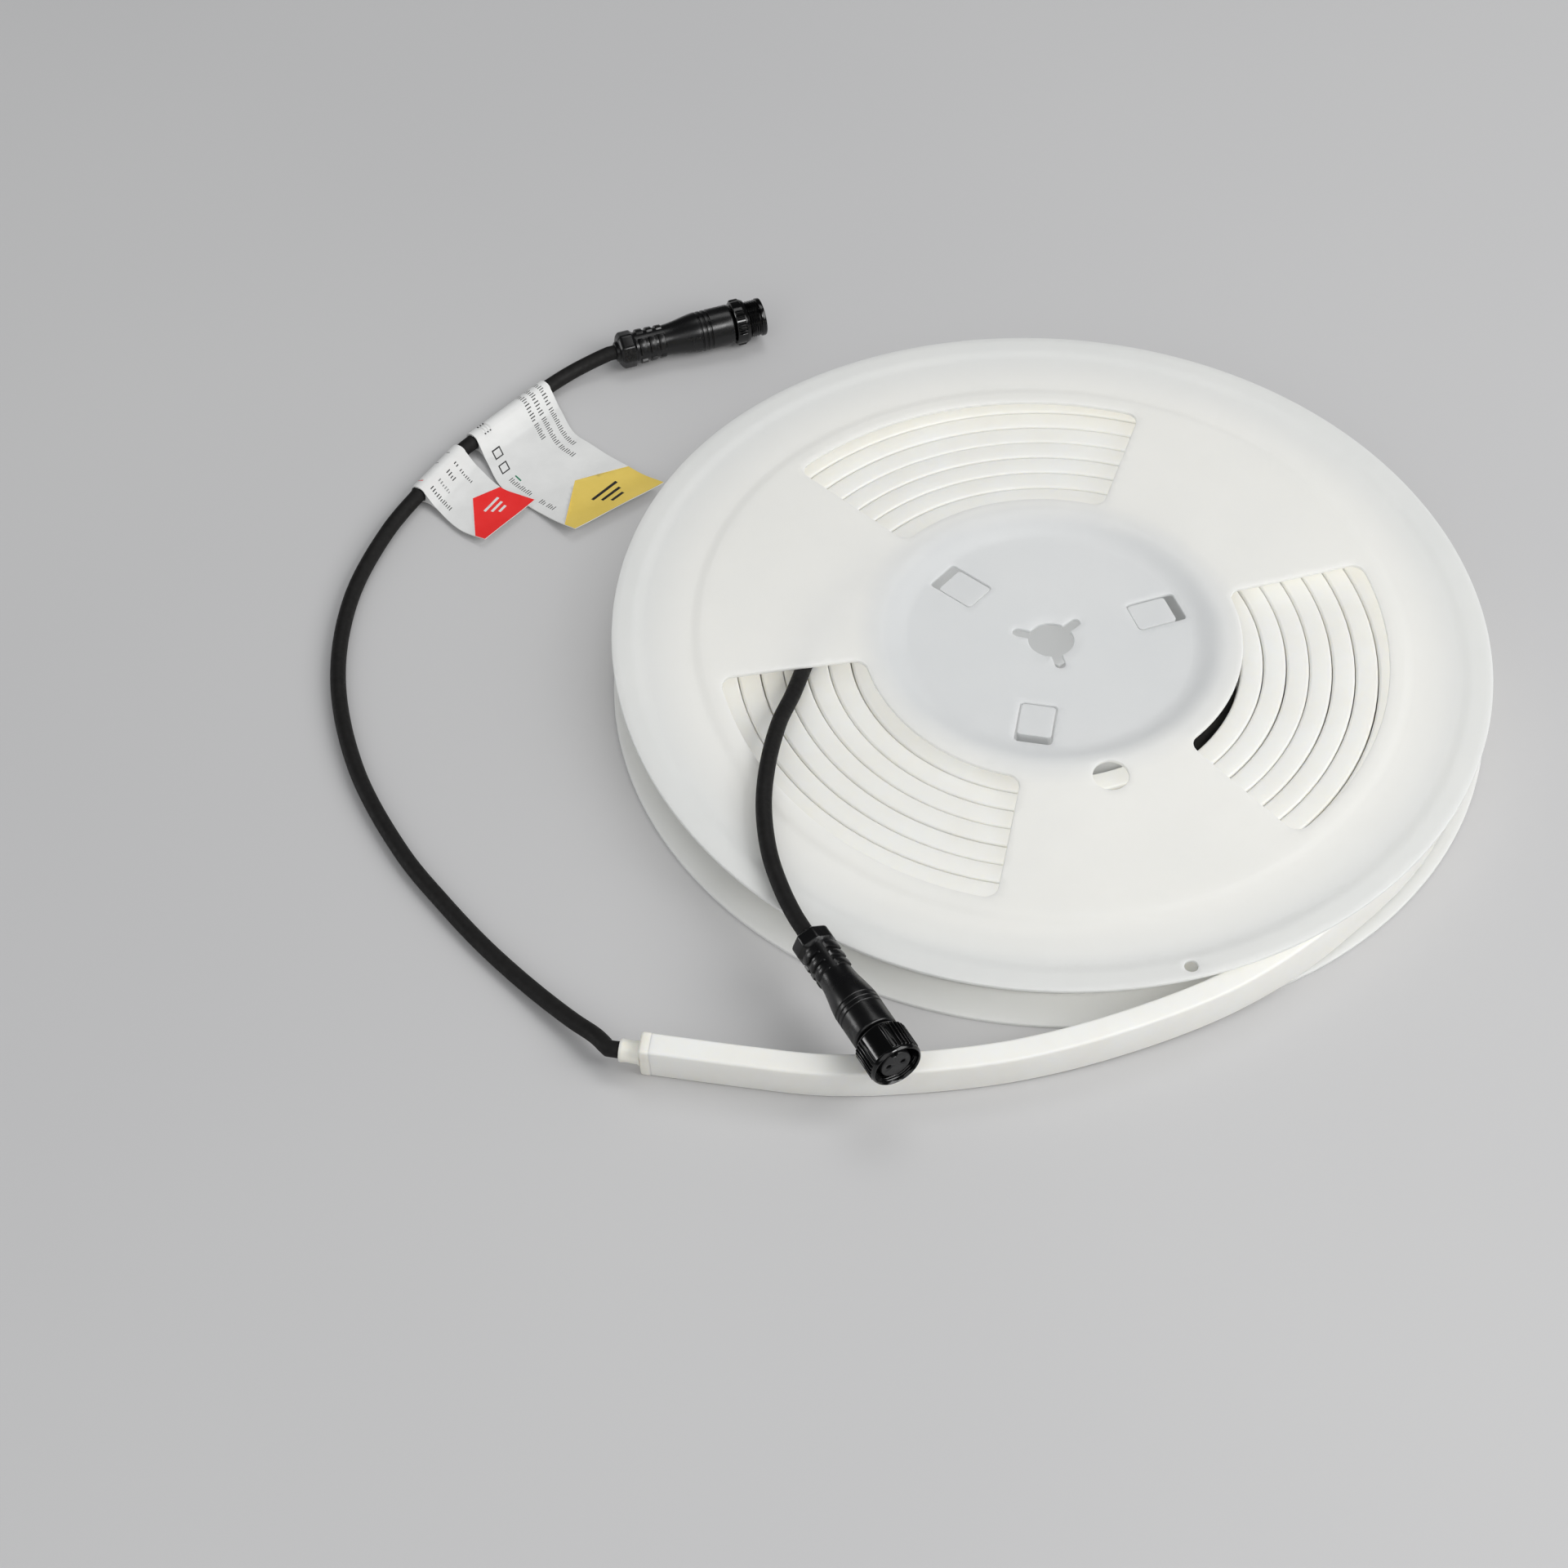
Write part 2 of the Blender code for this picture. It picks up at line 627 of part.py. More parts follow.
# Upper reel half: bent flange, sunk hub disc and the collar round the core
disc_top = HUB_TOP - HUB_RECESS
disc_bottom = disc_top - FLANGE_THICKNESS
hub_disc_radius = COLLAR_RADIUS - HUB_CONE
flange_bottom = HUB_TOP - FLANGE_THICKNESS
band_inner = REEL_RADIUS - RIM_BAND
groove_outer = band_inner - GROOVE_OUTER_SLOPE
groove_inner = groove_outer - GROOVE_WIDTH
web_outer = groove_inner - GROOVE_INNER_SLOPE
web = web_outer - COLLAR_RADIUS
upper_profile = [
    (SPINDLE_HOLE_RADIUS, disc_top),
    (hub_disc_radius * 0.6, disc_top),
    (hub_disc_radius, disc_top),
    (COLLAR_RADIUS, HUB_TOP),
    (COLLAR_RADIUS + web * 0.13, HUB_TOP),
    (COLLAR_RADIUS + web * 0.3, HUB_TOP),
    (COLLAR_RADIUS + web * 0.52, HUB_TOP),
    (COLLAR_RADIUS + web * 0.77, HUB_TOP),
    (web_outer, HUB_TOP),
    (groove_inner, HUB_TOP - GROOVE_DEPTH),
    (groove_outer, HUB_TOP - GROOVE_DEPTH),
    (band_inner, HUB_TOP),
    (REEL_RADIUS - RIM_EDGE * 3, HUB_TOP),
    (REEL_RADIUS, HUB_TOP - RIM_EDGE),
    (REEL_RADIUS, flange_bottom),
    (groove_outer + RIM_EDGE, flange_bottom - GROOVE_DEPTH / 2),
    (groove_inner - RIM_EDGE, flange_bottom - GROOVE_DEPTH / 2),
    (web_outer, flange_bottom),
    (COLLAR_RADIUS + web * 0.73, flange_bottom),
    (COLLAR_RADIUS + web * 0.48, flange_bottom),
    (COLLAR_RADIUS + web * 0.26, flange_bottom),
    (COLLAR_RADIUS + 0.0006, flange_bottom),
    (COLLAR_RADIUS, flange_bottom - 0.0008),
    (COLLAR_RADIUS, COLLAR_END_HEIGHT),
    (COLLAR_RADIUS - COLLAR_WALL, COLLAR_END_HEIGHT),
    (COLLAR_RADIUS - COLLAR_WALL, disc_bottom),
    (SPINDLE_HOLE_RADIUS, disc_bottom),
]
upper = turned(upper_profile, DISC_SEGMENTS, closed=True)
for vertex in upper.verts:
    vertex.co.z += flange_lift(vertex.co.x, vertex.co.y)
bmesh.ops.triangulate(upper, faces=upper.faces)
upper_half = add_object("reel_upper_half", upper, reel_plastic, reel_centre)

# Lower reel half: flat flange, core tube and three hollow tabs
core_outer = COLLAR_RADIUS - COLLAR_WALL - GAP
lower_profile = [
    (SPINDLE_HOLE_RADIUS, 0),
    (web_outer, 0),
    (REEL_RADIUS - RIM_EDGE, 0),
    (REEL_RADIUS, RIM_EDGE),
    (REEL_RADIUS, FLANGE_THICKNESS),
    (core_outer, FLANGE_THICKNESS),
    (core_outer, disc_bottom - GAP),
    (core_outer - CORE_WALL, disc_bottom - GAP),
    (core_outer - CORE_WALL, FLANGE_THICKNESS),
    (SPINDLE_HOLE_RADIUS, FLANGE_THICKNESS),
]
lower = turned(lower_profile, DISC_SEGMENTS, closed=True)
lower_half = add_object("reel_lower_half", lower, reel_plastic, reel_centre)

# Three windows, spindle notches, tab slots and tabs, a third of a turn apart
cut_top = HUB_TOP + 2 * CUT_MARGIN
for third in range(3):
    turn = third * 2 * math.pi / 3
    window = prism(window_outline(WINDOW_ANGLE + turn), -CUT_MARGIN, cut_top)
    window_tool = add_object(f"window_{third}_tool", window, None, reel_centre, smooth_angle=0)
    boolean(upper_half, window_tool)
    boolean(lower_half, window_tool)
    notch_length = SPINDLE_NOTCH_REACH - 0.004
    notch = box_outline(notch_length, SPINDLE_NOTCH_WIDTH, 0.004 + notch_length / 2,
                        SPINDLE_NOTCH_ANGLE + turn)
    notch_tool = add_object(f"notch_{third}_tool", prism(notch, -CUT_MARGIN, cut_top), None,
                            reel_centre, smooth_angle=0)
    boolean(upper_half, notch_tool)
    boolean(lower_half, notch_tool)
    slot = box_outline(TAB_SLOT_LENGTH, TAB_SLOT_WIDTH, TAB_CENTRE_RADIUS, TAB_ANGLE + turn)
    slot_block = prism(slot, disc_bottom - CUT_MARGIN, disc_top + CUT_MARGIN)
    slot_tool = add_object(f"tab_slot_{third}_tool", slot_block, None, reel_centre, smooth_angle=0)
    boolean(upper_half, slot_tool)
    tab_radius = TAB_CENTRE_RADIUS - (TAB_SLOT_LENGTH - TAB_LENGTH) / 2 + GAP
    tab = box_outline(TAB_LENGTH, TAB_WIDTH, tab_radius, TAB_ANGLE + turn)
    tab_top = disc_top - GAP
    tab_tool = add_object(f"tab_{third}_tool", prism(tab, FLANGE_THICKNESS / 2, tab_top), None,
                          reel_centre, smooth_angle=0)
    boolean(lower_half, tab_tool, "UNION")
    hollow = box_outline(TAB_LENGTH - 2 * TAB_WALL, TAB_WIDTH - 2 * TAB_WALL, tab_radius,
                         TAB_ANGLE + turn)
    hollow_block = prism(hollow, -CUT_MARGIN, tab_top - TAB_WALL)
    hollow_tool = add_object(f"tab_hollow_{third}_tool", hollow_block, None, reel_centre, smooth_angle=0)
    boolean(lower_half, hollow_tool)

# Finger hole beside the hub and a small tie hole near the rim
finger_reach = COLLAR_RADIUS + FINGER_HOLE_OFFSET
finger_place = (finger_reach * math.cos(FINGER_HOLE_ANGLE), finger_reach * math.sin(FINGER_HOLE_ANGLE))
finger_outline = circle_outline(FINGER_HOLE_RADIUS, 24, finger_place)
finger = prism(finger_outline, flange_bottom - CUT_MARGIN, cut_top)
boolean(upper_half, add_object("finger_hole_tool", finger, None, reel_centre))
tie_reach = REEL_RADIUS - TIE_HOLE_INSET
tie_place = (tie_reach * math.cos(TIE_HOLE_ANGLE), tie_reach * math.sin(TIE_HOLE_ANGLE))
tie_outline = circle_outline(TIE_HOLE_RADIUS, 14, tie_place)
tie = prism(tie_outline, flange_bottom - 2 * CUT_MARGIN, cut_top)
boolean(upper_half, add_object("tie_hole_tool", tie, None, reel_centre))

# Strip, wound and with its free run, and the cap on each end
stations = strip_stations()
add_object("neon_strip", strip_mesh(stations), strip_silicone, reel_centre, smooth_angle=30)
inner_mouth = end_cap("inner_end_cap", stations[0], -1, cap_silicone, reel_centre)
outer_mouth = end_cap("outer_end_cap", stations[-1], 1, cap_silicone, reel_centre)

# Leads, from each cap to the tail of its connector
plug_way = (PLUG_NOSE - PLUG_TAIL).normalized()
socket_way = (SOCKET_NOSE - SOCKET_TAIL).normalized()
plug_end = [PLUG_TAIL - plug_way * (GAP + LEAD_STRAIGHT), PLUG_TAIL - plug_way * GAP]
plug_route = outer_mouth + list(PLUG_LEAD_ROUTE) + plug_end
lead("plug_lead", plug_route, cable_jacket, reel_centre)
hub_route = []
for angle, radius, height in SOCKET_LEAD_HUB:
    way = math.radians(angle)
    hub_route.append((radius * math.cos(way), radius * math.sin(way), height))
socket_end = [SOCKET_TAIL - socket_way * (GAP + LEAD_STRAIGHT), SOCKET_TAIL - socket_way * GAP]
socket_route = inner_mouth + hub_route + list(SOCKET_LEAD_OUT) + socket_end
lead("socket_lead", socket_route, cable_jacket, reel_centre)

# Two flag labels on the plug lead
flag_label("tone_label", Vector(PLUG_LEAD_ROUTE[10]), Vector(PLUG_LEAD_ROUTE[11]),
           TONE_LABEL_REACH, TONE_LABEL_SKEW, TONE_LABEL_HEIGHTS, label_paper, reel_centre)
flag_label("type_label", Vector(PLUG_LEAD_ROUTE[12]), Vector(PLUG_LEAD_ROUTE[13]),
           TYPE_LABEL_REACH, TYPE_LABEL_SKEW, TYPE_LABEL_HEIGHTS, label_paper, reel_centre)

# Plug: moulding, turning screw collar, contact carrier and two pins
plug_axis = empty("plug_axis", PLUG_TAIL, reel_centre, plug_way.to_track_quat("Z", "Y"))
overmoulding("plug_moulding", moulding_black, plug_axis)
face = MOULDING_LENGTH + 0.0004
lip_front = face + 0.0010
screw_profile = [
    (STEM_RADIUS + GAP, face),
    (SCREW_RING_RADIUS - 0.0007, face),
    (SCREW_RING_RADIUS, face + 0.0005),
    (SCREW_RING_RADIUS, face + 0.0028),
    (SCREW_RING_RADIUS - 0.0007, face + 0.0040),
    (SCREW_THREAD_RADIUS, face + 0.0042),
    (SCREW_THREAD_RADIUS, PLUG_LENGTH - 0.0018),
    (SCREW_THREAD_RADIUS - 0.0003, PLUG_LENGTH - 0.0016),
    (SCREW_THREAD_RADIUS + 0.0002, PLUG_LENGTH - 0.0012),
    (SCREW_THREAD_RADIUS + 0.0002, PLUG_LENGTH - 0.0003),
    (SCREW_THREAD_RADIUS, PLUG_LENGTH),
    (SCREW_BORE, PLUG_LENGTH),
    (SCREW_BORE, lip_front),
    (STEM_RADIUS + GAP, lip_front),
]
screw = turned(screw_profile, SCREW_RING_RIBS * 3, closed=True, shape=knurled((2, 3), 3))
add_object("plug_screw_collar", screw, moulding_black, plug_axis)
carrier_rear = lip_front + GAP
carrier_front = PLUG_LENGTH - 0.0023
shroud_bore = 0.00415
carrier_profile = [
    (0, MOULDING_LENGTH - STEM_DEPTH + GAP),
    (STEM_RADIUS, MOULDING_LENGTH - STEM_DEPTH + GAP),
    (STEM_RADIUS, carrier_rear),
    (SCREW_BORE - GAP, carrier_rear),
    (SCREW_BORE - GAP, carrier_front),
    (shroud_bore, carrier_front),
    (shroud_bore, carrier_rear + 0.0014),
    (0, carrier_rear + 0.0014),
]


def keyed(rows, depth):
    def shape(index, radius, step, angle):
        if index in rows and step in (6, 7):
            return radius - depth
        return radius

    return shape


carrier = turned(carrier_profile, 24, shape=keyed((5, 6), 0.0006))
plug_carrier = add_object("plug_contact_carrier", carrier, insert_black, plug_axis)
pin_root = MOULDING_LENGTH - 0.0004
for tool in contact_tools("pin_hole", PIN_RADIUS + GAP, pin_root, carrier_front, plug_axis):
    boolean(plug_carrier, tool)
pin_profile = [
    (0, pin_root + GAP),
    (PIN_RADIUS, pin_root + GAP),
    (PIN_RADIUS, carrier_front - 0.0014),
    (PIN_RADIUS * 0.5, carrier_front - 0.0009),
    (0, carrier_front - 0.0008),
]
for side, name in ((-1, "plug_pin_a"), (1, "plug_pin_b")):
    pin = add_object(name, turned(pin_profile, 10), contact_brass, plug_axis)
    pin.location.x = side * CONTACT_OFFSET

# Socket: moulding, turning nut, contact carrier and two contact sleeves
socket_axis = empty("socket_axis", SOCKET_TAIL, reel_centre, socket_way.to_track_quat("Z", "Y"))
overmoulding("socket_moulding", moulding_black, socket_axis)
nut_shoulder = face + 0.0012
nut_profile = [
    (STEM_RADIUS + GAP, face),
    (NUT_RADIUS - 0.0013, face),
    (NUT_RADIUS, face + 0.0013),
    (NUT_RADIUS, SOCKET_LENGTH - 0.0009),
    (NUT_RADIUS - 0.0006, SOCKET_LENGTH),
    (NUT_BORE + 0.0005, SOCKET_LENGTH),
    (NUT_BORE, SOCKET_LENGTH - 0.0006),
    (NUT_BORE, nut_shoulder),
    (STEM_RADIUS + GAP, nut_shoulder),
]
nut = turned(nut_profile, NUT_RIBS * 2, closed=True, shape=knurled((2, 3), 2))
add_object("socket_nut", nut, moulding_black, socket_axis)
nose_front = SOCKET_LENGTH - 0.0012
flange_rear = nut_shoulder + GAP
nose_profile = [
    (0, MOULDING_LENGTH - STEM_DEPTH + GAP),
    (STEM_RADIUS, MOULDING_LENGTH - STEM_DEPTH + GAP),
    (STEM_RADIUS, flange_rear),
    (NUT_BORE - GAP - 0.0001, flange_rear),
    (NUT_BORE - GAP - 0.0001, flange_rear + 0.0013),
    (0.0040, flange_rear + 0.0013),
    (0.0040, nose_front - 0.0003),
    (0.0037, nose_front),
    (0, nose_front),
]
nose = turned(nose_profile, 24, shape=keyed((5, 6, 7), 0.0006))
socket_carrier = add_object("socket_contact_carrier", nose, insert_black, socket_axis)
sleeve_root = MOULDING_LENGTH - 0.0008
sleeve_front = nose_front - 0.0010
for tool in contact_tools("sleeve_seat", 0.0012, sleeve_root, sleeve_front, socket_axis):
    boolean(socket_carrier, tool)
for tool in contact_tools("sleeve_mouth", 0.00065, sleeve_front - 0.0002, nose_front + 0.001,
                          socket_axis):
    boolean(socket_carrier, tool)
sleeve_profile = [
    (0.00055, sleeve_root + GAP),
    (0.0009, sleeve_root + GAP),
    (0.0009, sleeve_front - GAP),
    (0.00055, sleeve_front - GAP),
]
for side, name in ((-1, "socket_contact_a"), (1, "socket_contact_b")):
    sleeve = add_object(name, turned(sleeve_profile, 10, closed=True), contact_brass, socket_axis)
    sleeve.location.x = side * CONTACT_OFFSET
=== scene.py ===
import math

import bmesh
import bpy
import numpy as np
from mathutils import Matrix, Vector
from mathutils.geometry import delaunay_2d_cdt


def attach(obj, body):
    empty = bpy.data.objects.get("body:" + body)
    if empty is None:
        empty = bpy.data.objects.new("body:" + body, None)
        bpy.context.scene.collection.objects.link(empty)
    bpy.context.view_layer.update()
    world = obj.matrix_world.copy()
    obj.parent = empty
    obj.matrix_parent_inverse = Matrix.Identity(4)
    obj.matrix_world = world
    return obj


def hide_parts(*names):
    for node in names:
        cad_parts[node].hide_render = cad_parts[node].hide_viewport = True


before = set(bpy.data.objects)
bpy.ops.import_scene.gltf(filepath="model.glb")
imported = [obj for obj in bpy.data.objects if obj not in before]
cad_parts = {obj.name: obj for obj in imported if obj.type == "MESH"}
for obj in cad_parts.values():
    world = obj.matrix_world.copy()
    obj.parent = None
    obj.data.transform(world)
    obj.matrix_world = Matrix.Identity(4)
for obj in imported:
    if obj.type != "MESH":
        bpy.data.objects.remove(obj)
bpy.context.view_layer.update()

# ---------------------------------------------------------------------------
# Lower reel half
# A flat disc of milky polypropylene, injection moulded in one shot with the
# core tube that the strip is wound on and three tabs that come up through
# the slots of the upper half.
# ---------------------------------------------------------------------------
REEL_CENTRE = Vector((0, 0.011404, 0))
REEL_RADIUS = 0.115
PLATE = 0.0011
HUB_TOP = 0.0191
HUB_RECESS = 0.0025
COLLAR_RADIUS = 0.0424
TUBE_WALL = 0.0014
FIT = 0.0003
EDGE_ROUND = 0.00032
RIM_POINTS = 288
WINDOW_INNER = 0.0500
WINDOW_OUTER = 0.0883
WINDOW_HALF_ANGLE = math.radians(33.6)
WINDOW_CORNER = 0.0035
WINDOW_ANGLE = math.radians(105)
SPINDLE_RADIUS = 0.006
SPINDLE_REACH = 0.0104
SPINDLE_NOTCH = 0.0028
SPINDLE_ANGLE = math.radians(163)
TAB_ANGLE = math.radians(140)
TAB_SIZE = (0.0105, 0.0088)
TAB_SLOT = (0.0135, 0.0098)
TAB_SLOT_MIDDLE = 0.030
TAB_CORNER = 0.0009
TAB_SUNK = 0.0003
TAB_MIDDLE = TAB_SLOT_MIDDLE - (TAB_SLOT[0] - TAB_SIZE[0]) / 2 + FIT
DISC_TOP = HUB_TOP - HUB_RECESS
DISC_UNDERSIDE = DISC_TOP - PLATE
FLANGE_UNDERSIDE = HUB_TOP - PLATE
CORE_OUTER = COLLAR_RADIUS - TUBE_WALL - FIT


def ring(radius, count, centre=(0, 0), clockwise=False):
    turns = [2 * math.pi * step / count for step in range(count)]
    if clockwise:
        turns.reverse()
    return [Vector((centre[0] + radius * math.cos(a), centre[1] + radius * math.sin(a))) for a in turns]


def sweep(centre, radius, start, end, steps):
    turns = [start + (end - start) * step / steps for step in range(steps + 1)]
    return [Vector((centre[0] + radius * math.cos(a), centre[1] + radius * math.sin(a))) for a in turns]


def window_edge(middle):
    """Outline of one window, clockwise, so that the plate lies on its left."""
    far = WINDOW_OUTER - WINDOW_CORNER
    near = WINDOW_INNER + WINDOW_CORNER
    far_turn = WINDOW_HALF_ANGLE - math.asin(WINDOW_CORNER / far)
    near_turn = WINDOW_HALF_ANGLE - math.asin(WINDOW_CORNER / near)
    side = WINDOW_HALF_ANGLE + math.pi / 2
    half = sweep((0, 0), WINDOW_OUTER, 0, far_turn, 36)[1:]
    half += sweep((far * math.cos(far_turn), far * math.sin(far_turn)), WINDOW_CORNER, far_turn, side, 10)[1:]
    straight_end = Vector((near * math.cos(near_turn), near * math.sin(near_turn)))
    straight_end += Vector((math.cos(side), math.sin(side))) * WINDOW_CORNER
    straight_start = half[-1]
    half += [straight_start.lerp(straight_end, step / 22) for step in range(1, 22)]
    corner = (near * math.cos(near_turn), near * math.sin(near_turn))
    half += sweep(corner, WINDOW_CORNER, side, near_turn + math.pi, 10)
    half += sweep((0, 0), WINDOW_INNER, near_turn, 0, 20)[1:-1]
    mirrored = [Vector((p.x, -p.y)) for p in reversed(half)]
    whole = [Vector((WINDOW_OUTER, 0))] + half + [Vector((WINDOW_INNER, 0))] + mirrored
    turn = Matrix.Rotation(middle, 2)
    return [turn @ p for p in reversed(whole)]


def spindle_edge():
    """A round hole with three keyways, clockwise."""
    half = SPINDLE_NOTCH / 2
    mouth = math.asin(half / SPINDLE_RADIUS)
    points = []
    for third in range(3):
        turn = Matrix.Rotation(SPINDLE_ANGLE + third * 2 * math.pi / 3, 2)
        root = math.sqrt(SPINDLE_RADIUS ** 2 - half ** 2)
        tip = SPINDLE_REACH - half
        notch = [Vector((root + (tip - root) * step / 4, -half)) for step in range(4)]
        notch += sweep((tip, 0), half, -math.pi / 2, math.pi / 2, 8)
        notch += [Vector((tip + (root - tip) * step / 4, half)) for step in range(1, 5)]
        notch += sweep((0, 0), SPINDLE_RADIUS, mouth, 2 * math.pi / 3 - mouth, 12)[1:-1]
        points += [turn @ p for p in notch]
    points.reverse()
    return points


def box_edge(size, middle, angle, corner, clockwise):
    """A rectangle with round corners whose long side points away from the reel's centre."""
    half_l, half_w = size[0] / 2 - corner, size[1] / 2 - corner
    arcs = []
    for quarter, (a, b) in enumerate(((1, 1), (-1, 1), (-1, -1), (1, -1))):
        start = quarter * math.pi / 2
        arcs.append(sweep((middle + a * half_l, b * half_w), corner, start, start + math.pi / 2, 4))
    points = []
    for here, following in zip(arcs, arcs[1:] + arcs[:1]):
        points += here
        points += [here[-1].lerp(following[0], step / 5) for step in range(1, 5)]
    turn = Matrix.Rotation(angle, 2)
    points = [turn @ p for p in points]
    if clockwise:
        points.reverse()
    return points


def inset(loop, distance):
    """The loop moved into the plate, which lies on its left."""
    moved = []
    for before, here, after in zip(loop[-1:] + loop[:-1], loop, loop[1:] + loop[:1]):
        ahead = (after - before).normalized()
        moved.append(here + Vector((-ahead.y, ahead.x)) * distance)
    return moved


def within(loop, points):
    """Which of the points lie inside the loop."""
    corners = np.array([tuple(p) for p in loop])
    x, y = points[:, 0][:, None], points[:, 1][:, None]
    x0, y0 = corners[:, 0][None], corners[:, 1][None]
    x1, y1 = np.roll(corners[:, 0], -1)[None], np.roll(corners[:, 1], -1)[None]
    rise = np.where(y1 == y0, 1e-12, y1 - y0)
    crossing = ((y0 > y) != (y1 > y)) & (x < (x1 - x0) * (y - y0) / rise + x0)
    return crossing.sum(1) % 2 == 1


def near_loop(loop, points, distance):
    corners = np.array([tuple(p) for p in loop])
    gaps = np.hypot(points[:, 0][:, None] - corners[:, 0][None], points[:, 1][:, None] - corners[:, 1][None])
    return gaps.min(1) < distance


def skin(shell, loops, kept_out, grid, height, upward):
    """One face of the plate, filled between the corner rows of its loops."""
    flat = []
    rows = []
    lines = []
    for loop in loops:
        first = len(flat)
        flat += [p for p, _ in loop]
        rows += [v for _, v in loop]
        lines += [(first + i, first + (i + 1) % len(loop)) for i in range(len(loop))]
    flat += grid
    made = delaunay_2d_cdt(flat, lines, [], 0, 1e-7)
    places, triangles, sources = made[0], made[2], made[3]
    corners = []
    for place, source in zip(places, sources):
        known = [index for index in source if index < len(rows)]
        if known:
            corners.append(rows[known[0]])
        else:
            corners.append(shell.verts.new((place.x, place.y, height(place.x, place.y))))
    xy = np.array([tuple(p) for p in places])
    middles = np.array([xy[list(t)].mean(0) for t in triangles])
    dropped = np.zeros(len(triangles), bool)
    for loop in kept_out:
        dropped |= within(loop, middles)
    for triangle, drop in zip(triangles, dropped):
        if not drop:
            order = triangle if upward else list(reversed(triangle))
            a, b, c = (xy[i] for i in order)
            turn = (b[0] - a[0]) * (c[1] - a[1]) - (b[1] - a[1]) * (c[0] - a[0])
            if (turn > 0) != upward:
                order = list(reversed(order))
            shell.faces.new([corners[i] for i in order])


def bridge(shell, low, high):
    for index in range(len(low)):
        after = (index + 1) % len(low)
        shell.faces.new((low[index], low[after], high[after], high[index]))


def plate(outer, holes, top, bottom, radii, top_bosses=(), bottom_bosses=()):
    """A plate with softly rounded edges. A boss is (outline, end height, closed or a second outline)."""
    shell = bmesh.new()
    edge = EDGE_ROUND
    steps = ((0, edge), (edge * 0.3, edge * 0.3), (edge, 0))
    grid = []
    for radius in radii:
        grid += ring(radius, max(48, int(RIM_POINTS * min(1, radius / 0.085))))
    walls = []
    for height, sign, bosses in ((top, 1, top_bosses), (bottom, -1, bottom_bosses)):
        loops, kept_out = [], []
        border_rows = []
        for loop in [outer] + holes:
            rows = []
            for away, drop in steps:
                moved = inset(loop, away)
                rows.append([shell.verts.new((p.x, p.y, height(p.x, p.y) - sign * drop)) for p in moved])
            for low, high in zip(rows, rows[1:]):
                if sign > 0:
                    bridge(shell, low, high)
                else:
                    bridge(shell, high, low)
            border_rows.append(rows[0])
            loops.append(list(zip(moved, rows[-1])))
            if loop is not outer:
                kept_out.append(moved)
        rings_out = []
        for outline, end, second in bosses:
            row = [shell.verts.new((p.x, p.y, height(p.x, p.y))) for p in outline]
            loops.append(list(zip(outline, row)))
            far = [shell.verts.new((p.x, p.y, end)) for p in outline]
            if second is None:
                kept_out.append(outline)
                (bridge if sign > 0 else lambda s, a, b: bridge(s, b, a))(shell, row, far)
                shell.faces.new(far if sign > 0 else far[::-1])
            else:
                inner_row = [shell.verts.new((p.x, p.y, height(p.x, p.y))) for p in second]
                inner_far = [shell.verts.new((p.x, p.y, end)) for p in second]
                loops.append(list(zip(second, inner_row)))
                rings_out.append((outline, second))
                if sign > 0:
                    bridge(shell, row, far)
                    bridge(shell, far, inner_far)
                    bridge(shell, inner_far, inner_row)
                else:
                    bridge(shell, far, row)
                    bridge(shell, inner_far, far)
                    bridge(shell, inner_row, inner_far)
        points = np.array([tuple(p) for p in grid])
        keep = within(outer, points)
        for loop in [outer] + holes:
            keep &= ~near_loop(loop, points, 0.0009)
            if loop is not outer:
                keep &= ~within(loop, points)
        for outline, end, second in bosses:
            keep &= ~near_loop(outline, points, 0.0007)
            if second is None:
                keep &= ~within(outline, points)
            else:
                keep &= ~near_loop(second, points, 0.0007)
                keep &= ~(within(outline, points) & ~within(second, points))
        chosen = [Vector(p) for p in points[keep]]
        before = set(shell.faces)
        skin(shell, loops, kept_out, chosen, height, sign > 0)
        for outline, second in rings_out:
            far = max(p.length for p in outline)
            near = min(p.length for p in second)
            between = []
            for face in [f for f in shell.faces if f not in before]:
                middle = face.calc_center_median().xy.length
                if near < middle < far and all(near - 1e-5 < v.co.xy.length < far + 1e-5 for v in face.verts):
                    between.append(face)
            bmesh.ops.delete(shell, geom=between, context="FACES")
        walls.append(border_rows)
    for above, below in zip(*walls):
        bridge(shell, below, above)
    return shell


def finished(name, shell, look, smooth=30, recalc=False):
    """The piece's object, at the origin, with its place in its mesh."""
    if recalc:
        bmesh.ops.recalc_face_normals(shell, faces=shell.faces)
    mesh = bpy.data.meshes.new(name)
    shell.to_mesh(mesh)
    shell.free()
    for face in mesh.polygons:
        face.use_smooth = True
    mesh.set_sharp_from_angle(angle=math.radians(smooth))
    mesh.materials.append(look)
    made = bpy.data.objects.new(name, mesh)
    bpy.context.scene.collection.objects.link(made)
    return made


def blank_finish(name):
    look = bpy.data.materials.new(name)
    look.use_nodes = True
    tree = look.node_tree
    return look, tree.nodes, tree.links, tree.nodes["Principled BSDF"]


def grain(nodes, links, scale, detail=3.0, roughness=0.5, stretch=(1, 1, 1)):
    """A noise field that stays fixed to the piece."""
    where = nodes.new("ShaderNodeTexCoord")
    turn = nodes.new("ShaderNodeMapping")
    turn.inputs["Scale"].default_value = stretch
    noise = nodes.new("ShaderNodeTexNoise")
    noise.inputs["Scale"].default_value = scale
    noise.inputs["Detail"].default_value = detail
    noise.inputs["Roughness"].default_value = roughness
    links.new(where.outputs["Object"], turn.inputs["Vector"])
    links.new(turn.outputs["Vector"], noise.inputs["Vector"])
    return noise.outputs["Fac"]


